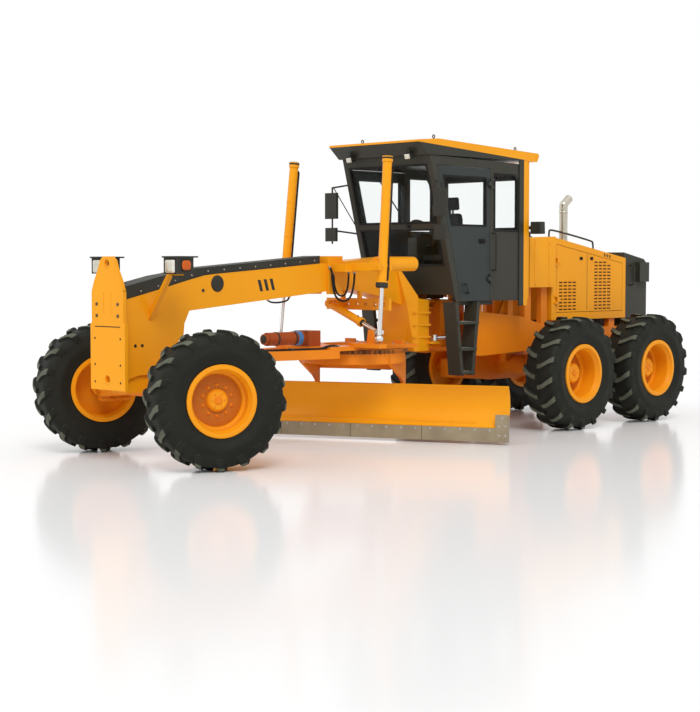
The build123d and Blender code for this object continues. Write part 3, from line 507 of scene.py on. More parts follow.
def add_block(mesh_data, low, high, place=Matrix(), taper=1.0):
    """A block between two corners; `taper` shrinks its upper face."""
    x0, y0, z0 = low
    x1, y1, z1 = high
    cx, cy = (x0 + x1) / 2, (y0 + y1) / 2
    loops = []
    for z, share in ((z0, 1.0), (z1, taper)):
        corners = ((x0, y0), (x1, y0), (x1, y1), (x0, y1))
        spots = [Vector((cx + (x - cx) * share, cy + (y - cy) * share, z)) for x, y in corners]
        loops.append([mesh_data.verts.new(place @ spot) for spot in spots])
        mesh_data.faces.new(loops[-1])
    join_loops(mesh_data, loops)


def add_plate(mesh_data, outline, place, low, high, back=True):
    """A flat plate with an outline in the place's XY plane, from low to high along its Z."""
    loops = [[mesh_data.verts.new(place @ Vector((*p, z))) for p in outline] for z in (low, high)]
    join_loops(mesh_data, loops)
    mesh_data.faces.new(loops[1])
    if back:
        mesh_data.faces.new(loops[0])


def add_turned(mesh_data, outline, place=Matrix(), steps=32):
    """Spin (radius, height) points about the place's Z axis; ends at radius 0 close."""
    rings = []
    for radius, height in outline:
        ring = []
        for n in range(steps if radius > 0 else 1):
            angle = math.tau * n / steps
            spot = Vector((radius * math.cos(angle), radius * math.sin(angle), height))
            ring.append(mesh_data.verts.new(place @ spot))
        rings.append(ring)
    for first, second in zip(rings, rings[1:]):
        for n in range(steps):
            m = (n + 1) % steps
            ends = ((first, n), (first, m), (second, m), (second, n))
            corners = list(dict.fromkeys(ring[k % len(ring)] for ring, k in ends))
            if len(corners) > 2:
                mesh_data.faces.new(corners)


def add_button(mesh_data, place, radius, top, height, steps=24):
    """A low disc whose edge slopes from `radius` at its foot to `top` at its face."""
    add_turned(mesh_data, [(0, height), (top, height), (radius, 0.0)], place, steps)


def add_bolt(mesh_data, place, size, washer=True):
    """A hexagon head with a chamfered top on a washer, looking along the place's Z."""
    if washer:
        rim = [(0, 0.0), (size * 1.25, 0.0), (size * 1.25, size * 0.16), (0, size * 0.16)]
        add_turned(mesh_data, rim, place, 16)
    head = [(0, 0.1), (1, 0.1), (1, 0.62), (0.82, 0.78), (0, 0.78)]
    add_turned(mesh_data, [(size * r, size * h) for r, h in head], place, 6)


def look_along(place, direction, roll=UPWARD):
    """A matrix at a place whose Z axis looks along a direction."""
    z_axis = Vector(direction).normalized()
    x_axis = Vector(roll).cross(z_axis)
    if x_axis.length < 1e-3:
        x_axis = Vector((1, 0, 0))
    x_axis.normalize()
    y_axis = z_axis.cross(x_axis)
    turn = Matrix((x_axis, y_axis, z_axis)).transposed().to_4x4()
    return Matrix.Translation(place) @ turn


def look_out(sign, x, y, z):
    """A place on one side of the machine that looks away from its middle."""
    return look_along((x, sign * y, z), (0, sign, 0))


def shift(x, y, z):
    """A place with its axes along the world's, or a step within another place."""
    return Matrix.Translation((x, y, z))


def spin(degrees, axis="Z"):
    return Matrix.Rotation(math.radians(degrees), 4, axis)


def bolt_circle(place, count, radius, height=0.0, start=0.0, turned=True):
    """Places on a circle about the place's Z axis, turned with it or left straight."""
    for n in range(count):
        turn = spin(start + 360 * n / count)
        spot = place @ turn @ shift(radius, 0, height)
        yield spot if turned else spot @ turn.inverted()


def side_face(sign, y):
    """Maps (x, z) outlines to the machine's side at distance y; the lift points outwards."""
    return Matrix(((1, 0, 0, 0), (0, 0, sign, sign * y), (0, 1, 0, 0), (0, 0, 0, 1)))


def mirrored(points, sign):
    return [Vector((x, sign * y, z)) for x, y, z in points]


# %% [markdown]
# ## Tyres
#
# A grader's tyre has deep bars that run from the middle of the tread to the
# shoulder and slope back down the side wall, left and right bars half a step
# apart. The solid keeps them as plain prisms. Here the carcass is a profile
# spun about the axle, and each bar is lofted over the shoulder from eight
# stations, so that it leans, widens and fades into the wall. The bars' tops are
# scuffed pale by gravel, so those faces wear a second finish.

# %% Draw one tyre about an axle along Y
TYRE_PROFILE = (
    # radius, distance from the middle plane
    (0.322, 0.186), (0.350, 0.187), (0.356, 0.196), (0.378, 0.203), (0.392, 0.2035), (0.398, 0.208),
    (0.440, 0.2145), (0.446, 0.2175), (0.490, 0.2195), (0.496, 0.2165), (0.545, 0.2150), (0.590, 0.2050),
    (0.618, 0.190), (0.634, 0.165), (0.640, 0.120), (0.643, 0.060), (0.644, 0.0),
)
TYRE_STEPS = 102
BAR_COUNT = 17
BAR_START = 1.0
BAR_FOOT, BAR_TOP = 1.15, 0.86
WORN_STATIONS = 5
BAR_STATIONS = (
    # along the tread, half width, top radius, top distance, root radius, root distance
    (0.030, 0.030, 0.6735, 0.010, 0.630, 0.010),
    (0.022, 0.031, 0.6738, 0.060, 0.630, 0.060),
    (-0.006, 0.032, 0.6730, 0.115, 0.625, 0.115),
    (-0.038, 0.035, 0.6690, 0.165, 0.615, 0.150),
    (-0.058, 0.038, 0.6580, 0.198, 0.600, 0.175),
    (-0.070, 0.040, 0.6350, 0.216, 0.585, 0.190),
    (-0.076, 0.038, 0.5950, 0.2215, 0.560, 0.200),
    (-0.078, 0.034, 0.5500, 0.2175, 0.545, 0.205),
)


def draw_bar(tyre, turn, side):
    """One bar as a loft: foot, top edge, top edge, foot at each station."""
    sections = []
    for along, half, top_r, top_y, root_r, root_y in BAR_STATIONS:
        foot, top = half * BAR_FOOT, half * BAR_TOP
        corners = ((along - foot, root_y, root_r), (along - top, top_y, top_r),
                   (along + top, top_y, top_r), (along + foot, root_y, root_r))
        spots = [Vector((u, y * side, math.sqrt(max(r * r - u * u, 0.0)))) for u, y, r in corners]
        sections.append([tyre.verts.new(turn @ spot) for spot in spots])
    for station, (first, second) in enumerate(zip(sections, sections[1:])):
        for a in range(3):
            face = tyre.faces.new((first[a], first[a + 1], second[a + 1], second[a]))
            face.material_index = int(a == 1 and station < WORN_STATIONS)
    tyre.faces.new(sections[0])
    tyre.faces.new(sections[-1])


def draw_tyre():
    tyre = bmesh.new()
    profile = list(TYRE_PROFILE) + [(r, -side) for r, side in reversed(TYRE_PROFILE[:-1])]
    add_turned(tyre, profile, spin(-90, "X"), TYRE_STEPS)
    for side, offset in ((1, 0.0), (-1, 0.5)):
        for n in range(BAR_COUNT):
            angle = (n + offset) * math.tau / BAR_COUNT + BAR_START
            draw_bar(tyre, Matrix.Rotation(angle, 4, "Y"), side)
    return tyre


STEER = -21.0
FRONT_AXLE, KINGPIN, HUB_HEIGHT = 3.610, 0.800, 0.674
TRACK_HALF = 1.078
AXLES = (("front", FRONT_AXLE), ("middle", -1.831), ("rear", -3.369))


def wheel_matrix(axle_x, sign):
    """The wheel's place, its Y axis along the axle; the front wheels are steered."""
    if axle_x != FRONT_AXLE:
        return shift(axle_x, sign * TRACK_HALF, HUB_HEIGHT)
    arm = sign * (TRACK_HALF - KINGPIN)
    return shift(axle_x, sign * KINGPIN, HUB_HEIGHT) @ spin(STEER) @ shift(0, arm, 0)


WHEELS = [(axle, axle + "_" + side, sign, wheel_matrix(axle_x, sign))
          for side, sign in SIDES for axle, axle_x in AXLES]
for _, wheel, _, place in WHEELS:
    tyre = draw_tyre()
    bmesh.ops.transform(tyre, matrix=place, verts=tyre.verts)
    piece = place_piece("bar_tyre_" + wheel, tyre, "tyre_rubber", "wheel_" + wheel, 40, 0.004)
    piece.data.materials.append(finish["tread_worn"])
    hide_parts("tyre_" + wheel)
print("tyres:", len(WHEELS), "bars on each:", 2 * BAR_COUNT)

# %% [markdown]
# ## Rims and hubs
#
# The rim is a steel dish with a bead ring on its outer lip and a hub held by
# ten nuts. The dish itself is solid already. The bead ring, the step inside
# the lip, the nuts with their studs and the hub's small cap are what make it
# read as a wheel, and they turn with it.

# %% Fit bead rings, steps, nuts and caps
HUBS = {
    # axle: distance of the dish, radius of the nuts' circle, distance of the hub's face
    "front": (0.047, 0.150, 0.095),
    "middle": (-0.048, 0.165, 0.060),
    "rear": (-0.048, 0.165, 0.060),
}
NUT_COUNT, CAP_SCREWS = 10, 6
LIP = ((0.302, 0.203), (0.306, 0.2105), (0.322, 0.2125), (0.344, 0.2100), (0.351, 0.203), (0.349, 0.196),
       (0.302, 0.196))
SHELF = ((0.3065, 0.158), (0.300, 0.152), (0.290, 0.148), (0.2795, 0.140))
STUD = ((0, 0.010), (0.0085, 0.010), (0.0085, 0.022), (0.006, 0.025), (0, 0.025))
RIM_STEPS = 72


def dress_rim(axle, wheel, sign, place):
    disc, nut_circle, cap = HUBS[axle]
    outward = place @ spin(0 if sign == 1 else 180) @ spin(-90, "X")
    body = "wheel_" + wheel
    ring, nuts, dish = bmesh.new(), bmesh.new(), bmesh.new()
    step = ((0.281, disc + 0.001), (0.281, disc + 0.028), (0.262, disc + 0.022), (0.252, disc + 0.001))
    for outline in (LIP, step, SHELF):
        add_turned(ring, outline, outward, RIM_STEPS)
    place_piece("bead_ring_" + wheel, ring, "rim_paint", body)
    for spot in bolt_circle(outward, NUT_COUNT, nut_circle, disc, 180 / NUT_COUNT, False):
        add_bolt(nuts, spot, 0.0165)
        add_turned(nuts, STUD, spot, 12)
    dome = ((0, cap + 0.012), (0.030, cap + 0.011), (0.038, cap + 0.004), (0.038, cap - 0.004))
    add_turned(nuts, dome, outward, 24)
    for spot in bolt_circle(outward, CAP_SCREWS, 0.062, cap, 0, False):
        add_bolt(nuts, spot, 0.007, False)
    place_piece("hub_nuts_" + wheel, nuts, "orange_paint", body)
    # a thin coat over the dish: its orange, darkened further as painted shade in the deep dish
    film = ((0.110, disc + 0.0008), (0.112, disc + 0.0016), (0.250, disc + 0.0016), (0.252, disc + 0.0008))
    add_turned(dish, film, outward, RIM_STEPS)
    place_piece("dish_" + wheel, dish, "dish_orange_and_painted_shade", body)


for wheel in WHEELS:
    dress_rim(*wheel)
print("rims dressed, nuts on each:", NUT_COUNT)

# %% [markdown]
# ## Nose plate
#
# The plate at the very front carries attachments: four bolts hold its upper
# half, a seam parts it from the lower one, and six tapped holes wait for a
# front blade. Bolt heads are hexagons with a chamfer on a washer. The holes are
# shallow wells painted dark, as painted shade for their depth, since the plate
# is a solid that stays as it is. Its neck tapers straight from the eye, so a
# flat cheek fills each shoulder.

# %% Bolt the nose plate and mark its holes
NOSE_FACE = 4.180
NOSE_BOLTS = [(y, z) for z in (1.577, 1.463) for y in (-0.170, 0.170)]
NOSE_HOLES = [(y, z) for z in (1.241, 0.984, 0.813) for y in (-0.205, 0.205)]
EYE_COLLAR = ((0.0385, -0.002), (0.0385, 0.004), (0.050, 0.004), (0.053, 0.0))
CHEEK = ((0.255, 1.702), (0.216, 1.800), (0.152, 1.915), (0.120, 1.992), (0.120, 1.822), (0.150, 1.783),
         (0.232, 1.748))


def on_nose(y, z):
    return look_along((NOSE_FACE, y, z), FORWARD)


bolts, holes, trim, cheeks = bmesh.new(), bmesh.new(), bmesh.new(), bmesh.new()
for y, z in NOSE_BOLTS:
    add_bolt(bolts, on_nose(y, z), 0.014)
# painted shade: each hole is a shallow dark well standing in for its depth
for y, z in NOSE_HOLES:
    add_button(holes, on_nose(y, z), 0.0120, 0.0105, 0.0006)
add_block(holes, (NOSE_FACE - 0.001, -0.205, 1.352), (NOSE_FACE + 0.0008, 0.205, 1.361))
for z in (1.975, 0.843):
    add_turned(trim, EYE_COLLAR, on_nose(0, z), 36)
for y in (-0.060, 0.060):
    add_block(trim, (NOSE_FACE - 0.002, y - 0.004, 1.480), (NOSE_FACE + 0.003, y + 0.004, 1.690))
for _, sign in SIDES:
    face = Matrix(((0, 0, 1, NOSE_FACE), (sign, 0, 0, 0), (0, 1, 0, 0), (0, 0, 0, 1)))
    add_plate(cheeks, CHEEK, face, -0.038, -0.001)
place_piece("nose_bolts", bolts, "dark_bolt", "front")
place_piece("nose_holes", holes, "dark_joint_and_painted_shade", "front")
place_piece("nose_trim", trim, "yellow_paint", "front")
place_piece("nose_cheeks", cheeks, "yellow_paint", "front")
print("nose bolts:", len(NOSE_BOLTS), "holes:", len(NOSE_HOLES))

# %% [markdown]
# ## Head lamps
#
# Each lamp box has a clear pane that nearly fills its front face and an amber
# indicator on its outer side, under a flat guard. A pane is a rounded oblong
# of shrinking rings, so that it is crowned and catches the light as pressed
# glass does. The round lens serves the smaller lamps at the rear.

# %% Glaze the head lamps
def add_lens(mesh_data, place, radius, rise):
    dome = [(0, rise), (radius * 0.45, rise * 0.86), (radius * 0.8, rise * 0.45), (radius, 0.0)]
    add_turned(mesh_data, dome, place, 32)


def add_pane(mesh_data, place, half_width, half_height, rise, corner, steps=6):
    """A pressed pane with round corners: rings shrink towards a crowned middle."""
    rings = []
    for share, height in ((1.0, 0.0), (0.96, rise * 0.5), (0.80, rise * 0.9), (0.40, rise)):
        ring = []
        for quadrant, (cx, cy) in enumerate(((1, 1), (-1, 1), (-1, -1), (1, -1))):
            for n in range(steps + 1):
                angle = math.radians(90 * (quadrant + n / steps))
                x = cx * (half_width - corner) + corner * math.cos(angle)
                y = cy * (half_height - corner) + corner * math.sin(angle)
                ring.append(mesh_data.verts.new(place @ Vector((x * share, y * share, height))))
        rings.append(ring)
    join_loops(mesh_data, rings)
    mesh_data.faces.new(rings[-1])


for side, sign in SIDES:
    lens, amber, trim = bmesh.new(), bmesh.new(), bmesh.new()
    face = look_along((3.860, sign * 0.585, 1.945), FORWARD)
    outer = look_out(sign, 3.755, 0.690, 1.955)
    add_pane(trim, face, 0.084, 0.074, 0.008, 0.022)
    add_pane(lens, face @ shift(0, 0, 0.006), 0.074, 0.064, 0.010, 0.018)
    add_pane(trim, outer, 0.062, 0.056, 0.010, 0.020)
    add_pane(amber, outer @ shift(0, 0, 0.006), 0.054, 0.048, 0.016, 0.030)
    for x in (3.705, 3.815):
        add_bolt(trim, look_along((x, sign * 0.560, 1.8565), (0, 0, -1)), 0.011)
    place_piece("lamp_lens_" + side, lens, "lens_clear", "front", 50)
    place_piece("indicator_" + side, amber, "lens_amber", "front", 50)
    place_piece("lamp_trim_" + side, trim, "seal_rubber", "front", 40)
print("lamps glazed: 2, indicators: 2")

# %% [markdown]
# ## Beam
#
# Along the beam run a weld bead under the black cover, a round black cap over
# the brake accumulator's hole, and bolts along the cover's edge. The big
# lettering of the real machine is left off: three plain slanted bars stand in
# its place on each side.

# %% Dress the beam
BEAM_TOP = ((4.080, 1.614), (3.700, 1.700), (3.310, 1.795), (3.045, 1.855), (2.250, 1.912), (1.345, 1.979))
BEAM_HALF = 0.150
BEAM_HOLES = (3.955, 3.870)
COVER_SCREWS = 12
SLANTED_BARS = 3
WELD_STOPS = (4.07, 3.7, 3.5, 3.31, 3.18, 3.045, 2.65, 2.25, 1.8, 1.36)


def beam_top(x):
    for (x1, z1), (x0, z0) in zip(BEAM_TOP, BEAM_TOP[1:]):
        if x0 <= x <= x1:
            return z0 + (z1 - z0) * (x - x0) / (x1 - x0)
    return BEAM_TOP[-1][1]


for side, sign in SIDES:
    cap, holes, bars, screws = bmesh.new(), bmesh.new(), bmesh.new(), bmesh.new()
    face = look_out(sign, 2.899, BEAM_HALF, 1.769)
    add_turned(cap, [(0, 0.018), (0.050, 0.018), (0.074, 0.014), (0.086, 0.0)], face, 40)
    for spot in bolt_circle(face, 3, 0.046, 0.0175, 90, False):
        add_bolt(cap, spot, 0.006, False)
    add_bolt(cap, look_out(sign, 3.090, BEAM_HALF, 1.700), 0.014)
    place_piece("beam_cap_" + side, cap, "cover_black", "front")
    # painted shade: the two holes low on each side are shallow dark wells
    for x in BEAM_HOLES:
        add_button(holes, look_out(sign, x, BEAM_HALF, 1.165), 0.018, 0.0165, 0.0006)
    place_piece("beam_holes_" + side, holes, "dark_joint_and_painted_shade", "front")
    for n in range(SLANTED_BARS):
        x = 2.30 - n * 0.085
        low, high = beam_top(x) - 0.225, beam_top(x) - 0.105
        bar = [(x - 0.030, low), (x + 0.012, low), (x + 0.048, high), (x + 0.006, high)]
        add_plate(bars, bar, side_face(sign, BEAM_HALF), -0.001, 0.0012, False)
    place_piece("slanted_bars_" + side, bars, "cover_black", "front")
    for n in range(COVER_SCREWS):
        x = 1.50 + n * 0.215
        add_bolt(screws, look_out(sign, x, 0.130, beam_top(x) + 0.038), 0.008)
    place_piece("cover_screws_" + side, screws, "bolt_steel", "front")
    weld = [(x, sign * (BEAM_HALF - 0.004), beam_top(x) - 0.002) for x in WELD_STOPS]
    make_tube("cover_weld_" + side, weld, 0.0055, "yellow_paint", "front")
print("beam dressed on both sides")

# %% [markdown]
# ## Lift cylinders
#
# A cylinder shows a collar with bolts where its rod comes out, a round cap at
# the top, yellow bands, and a black pipe that runs down the barrel from the
# port at the top to the one at the bottom. All of it rides with the barrel.

# %% Dress the lift cylinders
LIFT_TOP = (0.985, 0.735, 3.130)
LIFT_EYE = (1.165, 0.785, 1.165)
COLLAR_REACH = 1.385
COLLAR = ((0.052, -0.02), (0.066, -0.018), (0.068, 0.024), (0.060, 0.036), (0.034, 0.037), (0.0255, 0.037))
CAP = ((0.058, -0.030), (0.060, -0.012), (0.046, 0.004), (0.022, 0.006), (0.018, 0.000), (0, 0.000))
BAND = ((0.0505, -0.009), (0.0522, -0.008), (0.0522, 0.008), (0.0505, 0.009))
BAND_REACHES = (0.455, 0.845, 1.235)
PIPE_SIDE = Vector((-0.042, 0.044, 0))
PIPE = (
    # reach down the barrel, share of the way out to its side
    (0.10, 0.5), (0.10, 1), (0.16, 1), (0.75, 1), (1.28, 1), (1.345, 1), (1.35, 0.6),
)

for side, sign in SIDES:
    top, eye = mirrored((LIFT_TOP, LIFT_EYE), sign)
    down = (eye - top).normalized()
    body = "lift_barrel_" + side
    trim, bands = bmesh.new(), bmesh.new()
    collar = look_along(top + down * COLLAR_REACH, down)
    add_turned(trim, COLLAR, collar, 40)
    for spot in bolt_circle(collar, 8, 0.050, 0.036):
        add_bolt(trim, spot, 0.0065, False)
    add_turned(trim, CAP, look_along(top, -down), 40)
    place_piece("lift_collar_" + side, trim, "cover_black", body)
    pipe = [top + down * reach + PIPE_SIDE * share for reach, share in PIPE]
    make_tube("lift_pipe_" + side, pipe, 0.0105, "seal_rubber", body)
    for reach in BAND_REACHES:
        add_turned(bands, BAND, look_along(top + down * reach, down))
    place_piece("lift_bands_" + side, bands, "yellow_paint", body)
print("lift cylinders dressed:", len(SIDES))

# %% [markdown]
# ## Engine hood
#
# The louvres are slots pressed into the side doors. In the solid they are
# shallow, so a dark strip at the bottom of each is painted shade that gives the
# depth of the real ones, and a pressed lip above each catches the light. A seam
# and two latches finish the door. All of it swings with the door.

# %% Darken and lip the louvres
HOOD_SIDE = 0.500
HOOD_FRONT, HOOD_HEIGHT, HOOD_FALL = -2.200, 2.312, 0.166
LOUVRES = (
    # first slot's front, lowest slot, limit of the highest
    (-2.352, 1.400, 1.810),
    (-3.082, 1.400, 2.040),
)
COLUMNS, COLUMN_PITCH, ROW_PITCH = 4, 0.092, 0.042
LATCHES = (-2.80, -3.02)
SEAM_FRONT, SEAM_REAR = -2.924, -2.930


def hood_top(x):
    return HOOD_HEIGHT - (HOOD_FRONT - x) * HOOD_FALL


for side, sign in SIDES:
    body = "hood_door_" + side
    dark, lips, latches, seam = bmesh.new(), bmesh.new(), bmesh.new(), bmesh.new()
    slots = 0
    for first, low, high in LOUVRES:
        for column in range(COLUMNS):
            x = first - column * COLUMN_PITCH
            for n in range(int((high - low) / ROW_PITCH)):
                z = low + n * ROW_PITCH
                if z + 0.060 < hood_top(x - 0.072) - 0.075:
                    # painted shade: a dark strip at the slot's bottom stands in for its depth
                    add_block(dark, (x - 0.0715, sign * (HOOD_SIDE - 0.0135), z + 0.0005),
                              (x - 0.0005, sign * (HOOD_SIDE - 0.006), z + 0.0165))
                    tilt = shift(x - 0.036, sign * HOOD_SIDE, z + 0.0165) @ spin(-28 * sign, "X")
                    add_block(lips, (-0.036, -0.001, -0.002), (0.036, 0.001, 0.0085), tilt, 0.94)
                    slots += 1
    for x in LATCHES:
        spot = look_out(sign, x, HOOD_SIDE, 2.045)
        add_block(latches, (-0.030, -0.020, 0.0), (0.030, 0.020, 0.006), spot, 0.95)
        add_block(latches, (-0.020, -0.008, 0.005), (0.020, 0.008, 0.016), spot, 0.85)
    add_block(seam, (SEAM_REAR, sign * (HOOD_SIDE - 0.002), 1.395),
              (SEAM_FRONT, sign * (HOOD_SIDE + 0.0010), hood_top(SEAM_REAR) - 0.090))
    place_piece("louvre_painted_shade_" + side, dark, "dark_joint_and_painted_shade", body)
    place_piece("louvre_lips_" + side, lips, "yellow_paint", body)
    place_piece("door_latches_" + side, latches, "seal_rubber", body, bevel=0.002)
    place_piece("door_seam_" + side, seam, "dark_joint_and_painted_shade", body)
print("louvre slots on each side:", slots)

# %% [markdown]
# On the hood's top stands a low black handrail, and the side panel above the
# door carries plain slanted bars where the real one has its number. The
# exhaust ends in a slanted mouth with a dark inside.

# %% Dress the hood's top, tank, exhaust and shroud
HOOD_RAIL = (
    (-2.32, 0.36, 2.285), (-2.32, 0.36, 2.375), (-2.34, 0.36, 2.405), (-2.75, 0.36, 2.345),
    (-3.20, 0.36, 2.270), (-3.24, 0.36, 2.250), (-3.24, 0.36, 2.130),
)
TANK_SIDE, STRAP_FACE = 0.5595, 0.5635
STRAPS = (-1.80, -2.08)
REAR_LAMPS = (1.925, 1.835)
BEND = 0.03


def grip_points(x, reach, low, high):
    """An upright grip: out from the panel, round a bend, up, and back in."""
    root, elbow, bar = reach
    return ((x, root, low), (x, elbow, low), (x, bar, low + BEND),
            (x, bar, high - BEND), (x, elbow, high), (x, root, high))


for side, sign in SIDES:
    marks, lamp, strap = bmesh.new(), bmesh.new(), bmesh.new()
    make_tube("hood_rail_" + side, mirrored(HOOD_RAIL, sign), 0.012, "cover_black", "rear")
    for n in range(SLANTED_BARS):
        x = -3.30 - n * 0.055
        low, high = hood_top(x) - 0.060, hood_top(x) - 0.020
        bar = [(x - 0.020, low), (x + 0.006, low), (x + 0.020, high), (x - 0.006, high)]
        add_plate(marks, bar, side_face(sign, HOOD_SIDE), -0.001, 0.001, False)
    place_piece("hood_bars_" + side, marks, "cover_black", "rear")
    handle = mirrored(grip_points(-3.90, (0.470, 0.520, 0.535), 1.70, 1.96), sign)
    make_tube("shroud_handle_" + side, handle, 0.010, "cover_black", "rear")
    for z in REAR_LAMPS:
        add_lens(lamp, look_along((-4.231, sign * 0.508, z), (-1, 0, 0)), 0.034, 0.008)
    place_piece("rear_lamps_" + side, lamp, "lens_red", "rear", 50)
    for x in STRAPS:
        top = 2.278 + (x + 1.69) * 0.0431
        add_block(strap, (x - 0.018, sign * TANK_SIDE, 1.692), (x + 0.018, sign * STRAP_FACE, top))
        for z in (1.73, 2.23):
            add_bolt(strap, look_out(sign, x, STRAP_FACE, z), 0.009)
    place_piece("tank_straps_" + side, strap, "yellow_paint", "rear")

box_lamp, glow = bmesh.new(), bmesh.new()
add_block(box_lamp, (-1.585, 0.722, 2.330), (-1.490, 0.877, 2.475), taper=0.96)
add_block(box_lamp, (-1.550, 0.655, 2.385), (-1.508, 0.740, 2.425))
place_piece("rear_work_lamp", box_lamp, "cover_black", "rear", bevel=0.006)
add_pane(glow, look_along((-1.584, 0.800, 2.402), (-1, 0, 0)), 0.060, 0.054, 0.006, 0.012)
place_piece("rear_work_lens", glow, "lens_clear", "rear", 50)

FILLER = ((0, 0.062), (0.044, 0.062), (0.052, 0.054), (0.052, 0.018), (0.064, 0.012), (0.070, 0.0))
filler, filler_place = bmesh.new(), shift(-1.95, 0.30, 2.300)
add_turned(filler, FILLER, filler_place, 36)
add_block(filler, (-0.010, -0.050, 0.058), (0.010, 0.050, 0.074), filler_place, 0.9)
place_piece("tank_filler", filler, "cover_black", "rear")

PIPE_MOUTH = look_along((-3.040, 0.120, 2.815), (-0.112, 0, 0.085))
PIPE_FOOT = shift(-2.928, 0.120, 2.200)
MOUTH_RIM = ((0.0465, 0.001), (0.0468, 0.004), (0.0525, 0.004), (0.0545, -0.004), (0.0532, -0.016))
FOOT_COLLAR = ((0.054, 0.0), (0.095, 0.0), (0.095, 0.006), (0.060, 0.010), (0.0545, 0.030))
mouth, rim = bmesh.new(), bmesh.new()
add_button(mouth, PIPE_MOUTH, 0.0465, 0.046, 0.0008, 32)
place_piece("exhaust_mouth", mouth, "dark_joint_and_painted_shade", "rear")
add_turned(rim, MOUTH_RIM, PIPE_MOUTH)
add_turned(rim, FOOT_COLLAR, PIPE_FOOT)
for z in (0.16, 0.42):
    add_turned(rim, [(0.0532, z), (0.0565, z + 0.004), (0.0565, z + 0.022), (0.0532, z + 0.026)], PIPE_FOOT)
place_piece("exhaust_trim", rim, "exhaust_steel", "rear")
print("hood, tank, exhaust and shroud dressed")

# %% [markdown]
# ## Cab
#
# Windows sit in black rubber: a frame of square section runs round every
# pane's edge, on the outside face of the shell, and swings with the door where
# the pane does.

# %% Frame the windows in rubber
CAB_HALF = 0.690
SEAL_WIDTH, SEAL_LIFT, SEAL_DEPTH, SEAL_MARGIN = 0.022, 0.006, -0.020, 0.012
SCREEN_FOOT, SCREEN_LEVEL, SCREEN_LEAN = -0.170, 1.620, (0.425, 1.580)


def front_x(z):
    """Where the leaning windscreen plane stands at a height."""
    return SCREEN_FOOT + (z - SCREEN_LEVEL) * SCREEN_LEAN[0] / SCREEN_LEAN[1]


QUARTER = [(-0.869, 2.364), (-0.869, 3.015), (-1.230, 3.015), (-1.290, 2.950), (-1.290, 2.364)]
DOOR_PANE = [(front_x(2.415) - 0.165, 2.415), (front_x(2.962) - 0.165, 2.962),
             (-0.711, 2.962), (-0.711, 2.415)]
REAR_FACE = Matrix(((0, 0, -1, -1.480), (1, 0, 0, 0), (0, 1, 0, 0), (0, 0, 0, 1)))
REAR_PANE = [(-0.592, 2.388), (0.592, 2.388), (0.592, 2.992), (-0.592, 2.992)]


def grown(outline, margin):
    """Move each corner by the margin in both directions, away from the outline's middle."""
    middle = [sum(axis) / len(outline) for axis in zip(*outline)]
    return [tuple(v + math.copysign(1, v - m) * margin for v, m in zip(p, middle)) for p in outline]


def place_seal(name, outline, place, body):
    """A flat rubber frame inside an outline in the place's XY plane, proud of it."""
    seal = bmesh.new()
    inner = grown(outline, -SEAL_WIDTH)
    profile = ((outline, 0.0), (outline, SEAL_LIFT), (inner, SEAL_LIFT), (inner, SEAL_DEPTH))
    join_loops(seal, [[seal.verts.new(place @ Vector((*p, z))) for p in points] for points, z in profile])
    place_piece(name, seal, "seal_rubber", body)


for side, sign in SIDES:
    face = side_face(sign, CAB_HALF)
    place_seal("quarter_seal_" + side, grown(QUARTER, SEAL_MARGIN), face, "rear")
    place_seal("door_seal_" + side, grown(DOOR_PANE, SEAL_MARGIN), face, "cab_door_" + side)

lean = Vector((SCREEN_LEAN[0], 0, SCREEN_LEAN[1])).normalized()
tilt = Matrix((Vector((0, 1, 0)), lean, Vector((lean.z, 0, -lean.x)))).transposed().to_4x4()
half = CAB_HALF - 0.085 + SEAL_MARGIN
for name, z0, z1 in (("windscreen", 2.440, 3.080), ("lower_pane", 1.960, 2.360)):
    foot, head = Vector((front_x(z0), 0, z0)), Vector((front_x(z1), 0, z1))
    low, high = -SEAL_MARGIN, (head - foot).length + SEAL_MARGIN
    outline = [(-half, low), (half, low), (half, high), (-half, high)]
    place_seal(name + "_seal", outline, Matrix.Translation(foot) @ tilt, "rear")
place_seal("rear_seal", REAR_PANE, REAR_FACE, "rear")
print("window seals:", 7)

# %% [markdown]
# Two work lamps look forward from brackets under the roof's front, lifting eyes
# stand on its corners, and a wiper lies on the windscreen. Each door has a
# handle, each entry a rail, each mirror a silver face and a brace, and rows of
# buttons on the ladder's steps give a shoe its grip.

# %% Hang the work lamps, eyes, wiper and handles
ROOF_TOP, ROOF_RISE, ROOF_FRONT = 3.372, 0.046, 0.12
EYE_FOOT = ((0.024, 0.0), (0.024, 0.008), (0.012, 0.016), (0.009, 0.026), (0, 0.026))
HOOP_RADIUS, HOOP_WIRE = 0.0175, 0.0065
ENTRY_RAIL = grip_points(-0.842, (0.690, 0.738, 0.745), 1.900, 2.330)
MIRROR_BRACE = ((0.235, 0.860, 2.872), (0.050, 0.688, 2.440))
MIRRORS = ((0.772, 0.948, 2.515, 2.800), (0.782, 0.943, 2.250, 2.390))
STEPS = (
    # height, rear edge, front edge
    (0.745, -0.418, -0.230), (1.014, -0.430, -0.210), (1.315, -0.455, -0.180),
)

eyes = bmesh.new()
section = []
for n in range(11):
    angle = math.tau * n / 10
    section.append((HOOP_RADIUS + HOOP_WIRE * math.cos(angle), HOOP_WIRE * math.sin(angle)))
for x, y in ((0.05, 0.56), (0.05, -0.56), (-1.40, 0.56), (-1.40, -0.56)):
    height = ROOF_TOP + (x - ROOF_FRONT) * ROOF_RISE
    add_turned(eyes, EYE_FOOT, shift(x, y, height - 0.004), 20)
    add_turned(eyes, section, look_along((x, y, height + 0.038), (0, 1, 0)), 24)
bmesh.ops.remove_doubles(eyes, verts=eyes.verts, dist=0.00001)
place_piece("lifting_eyes", eyes, "dark_bolt", "rear", 40)

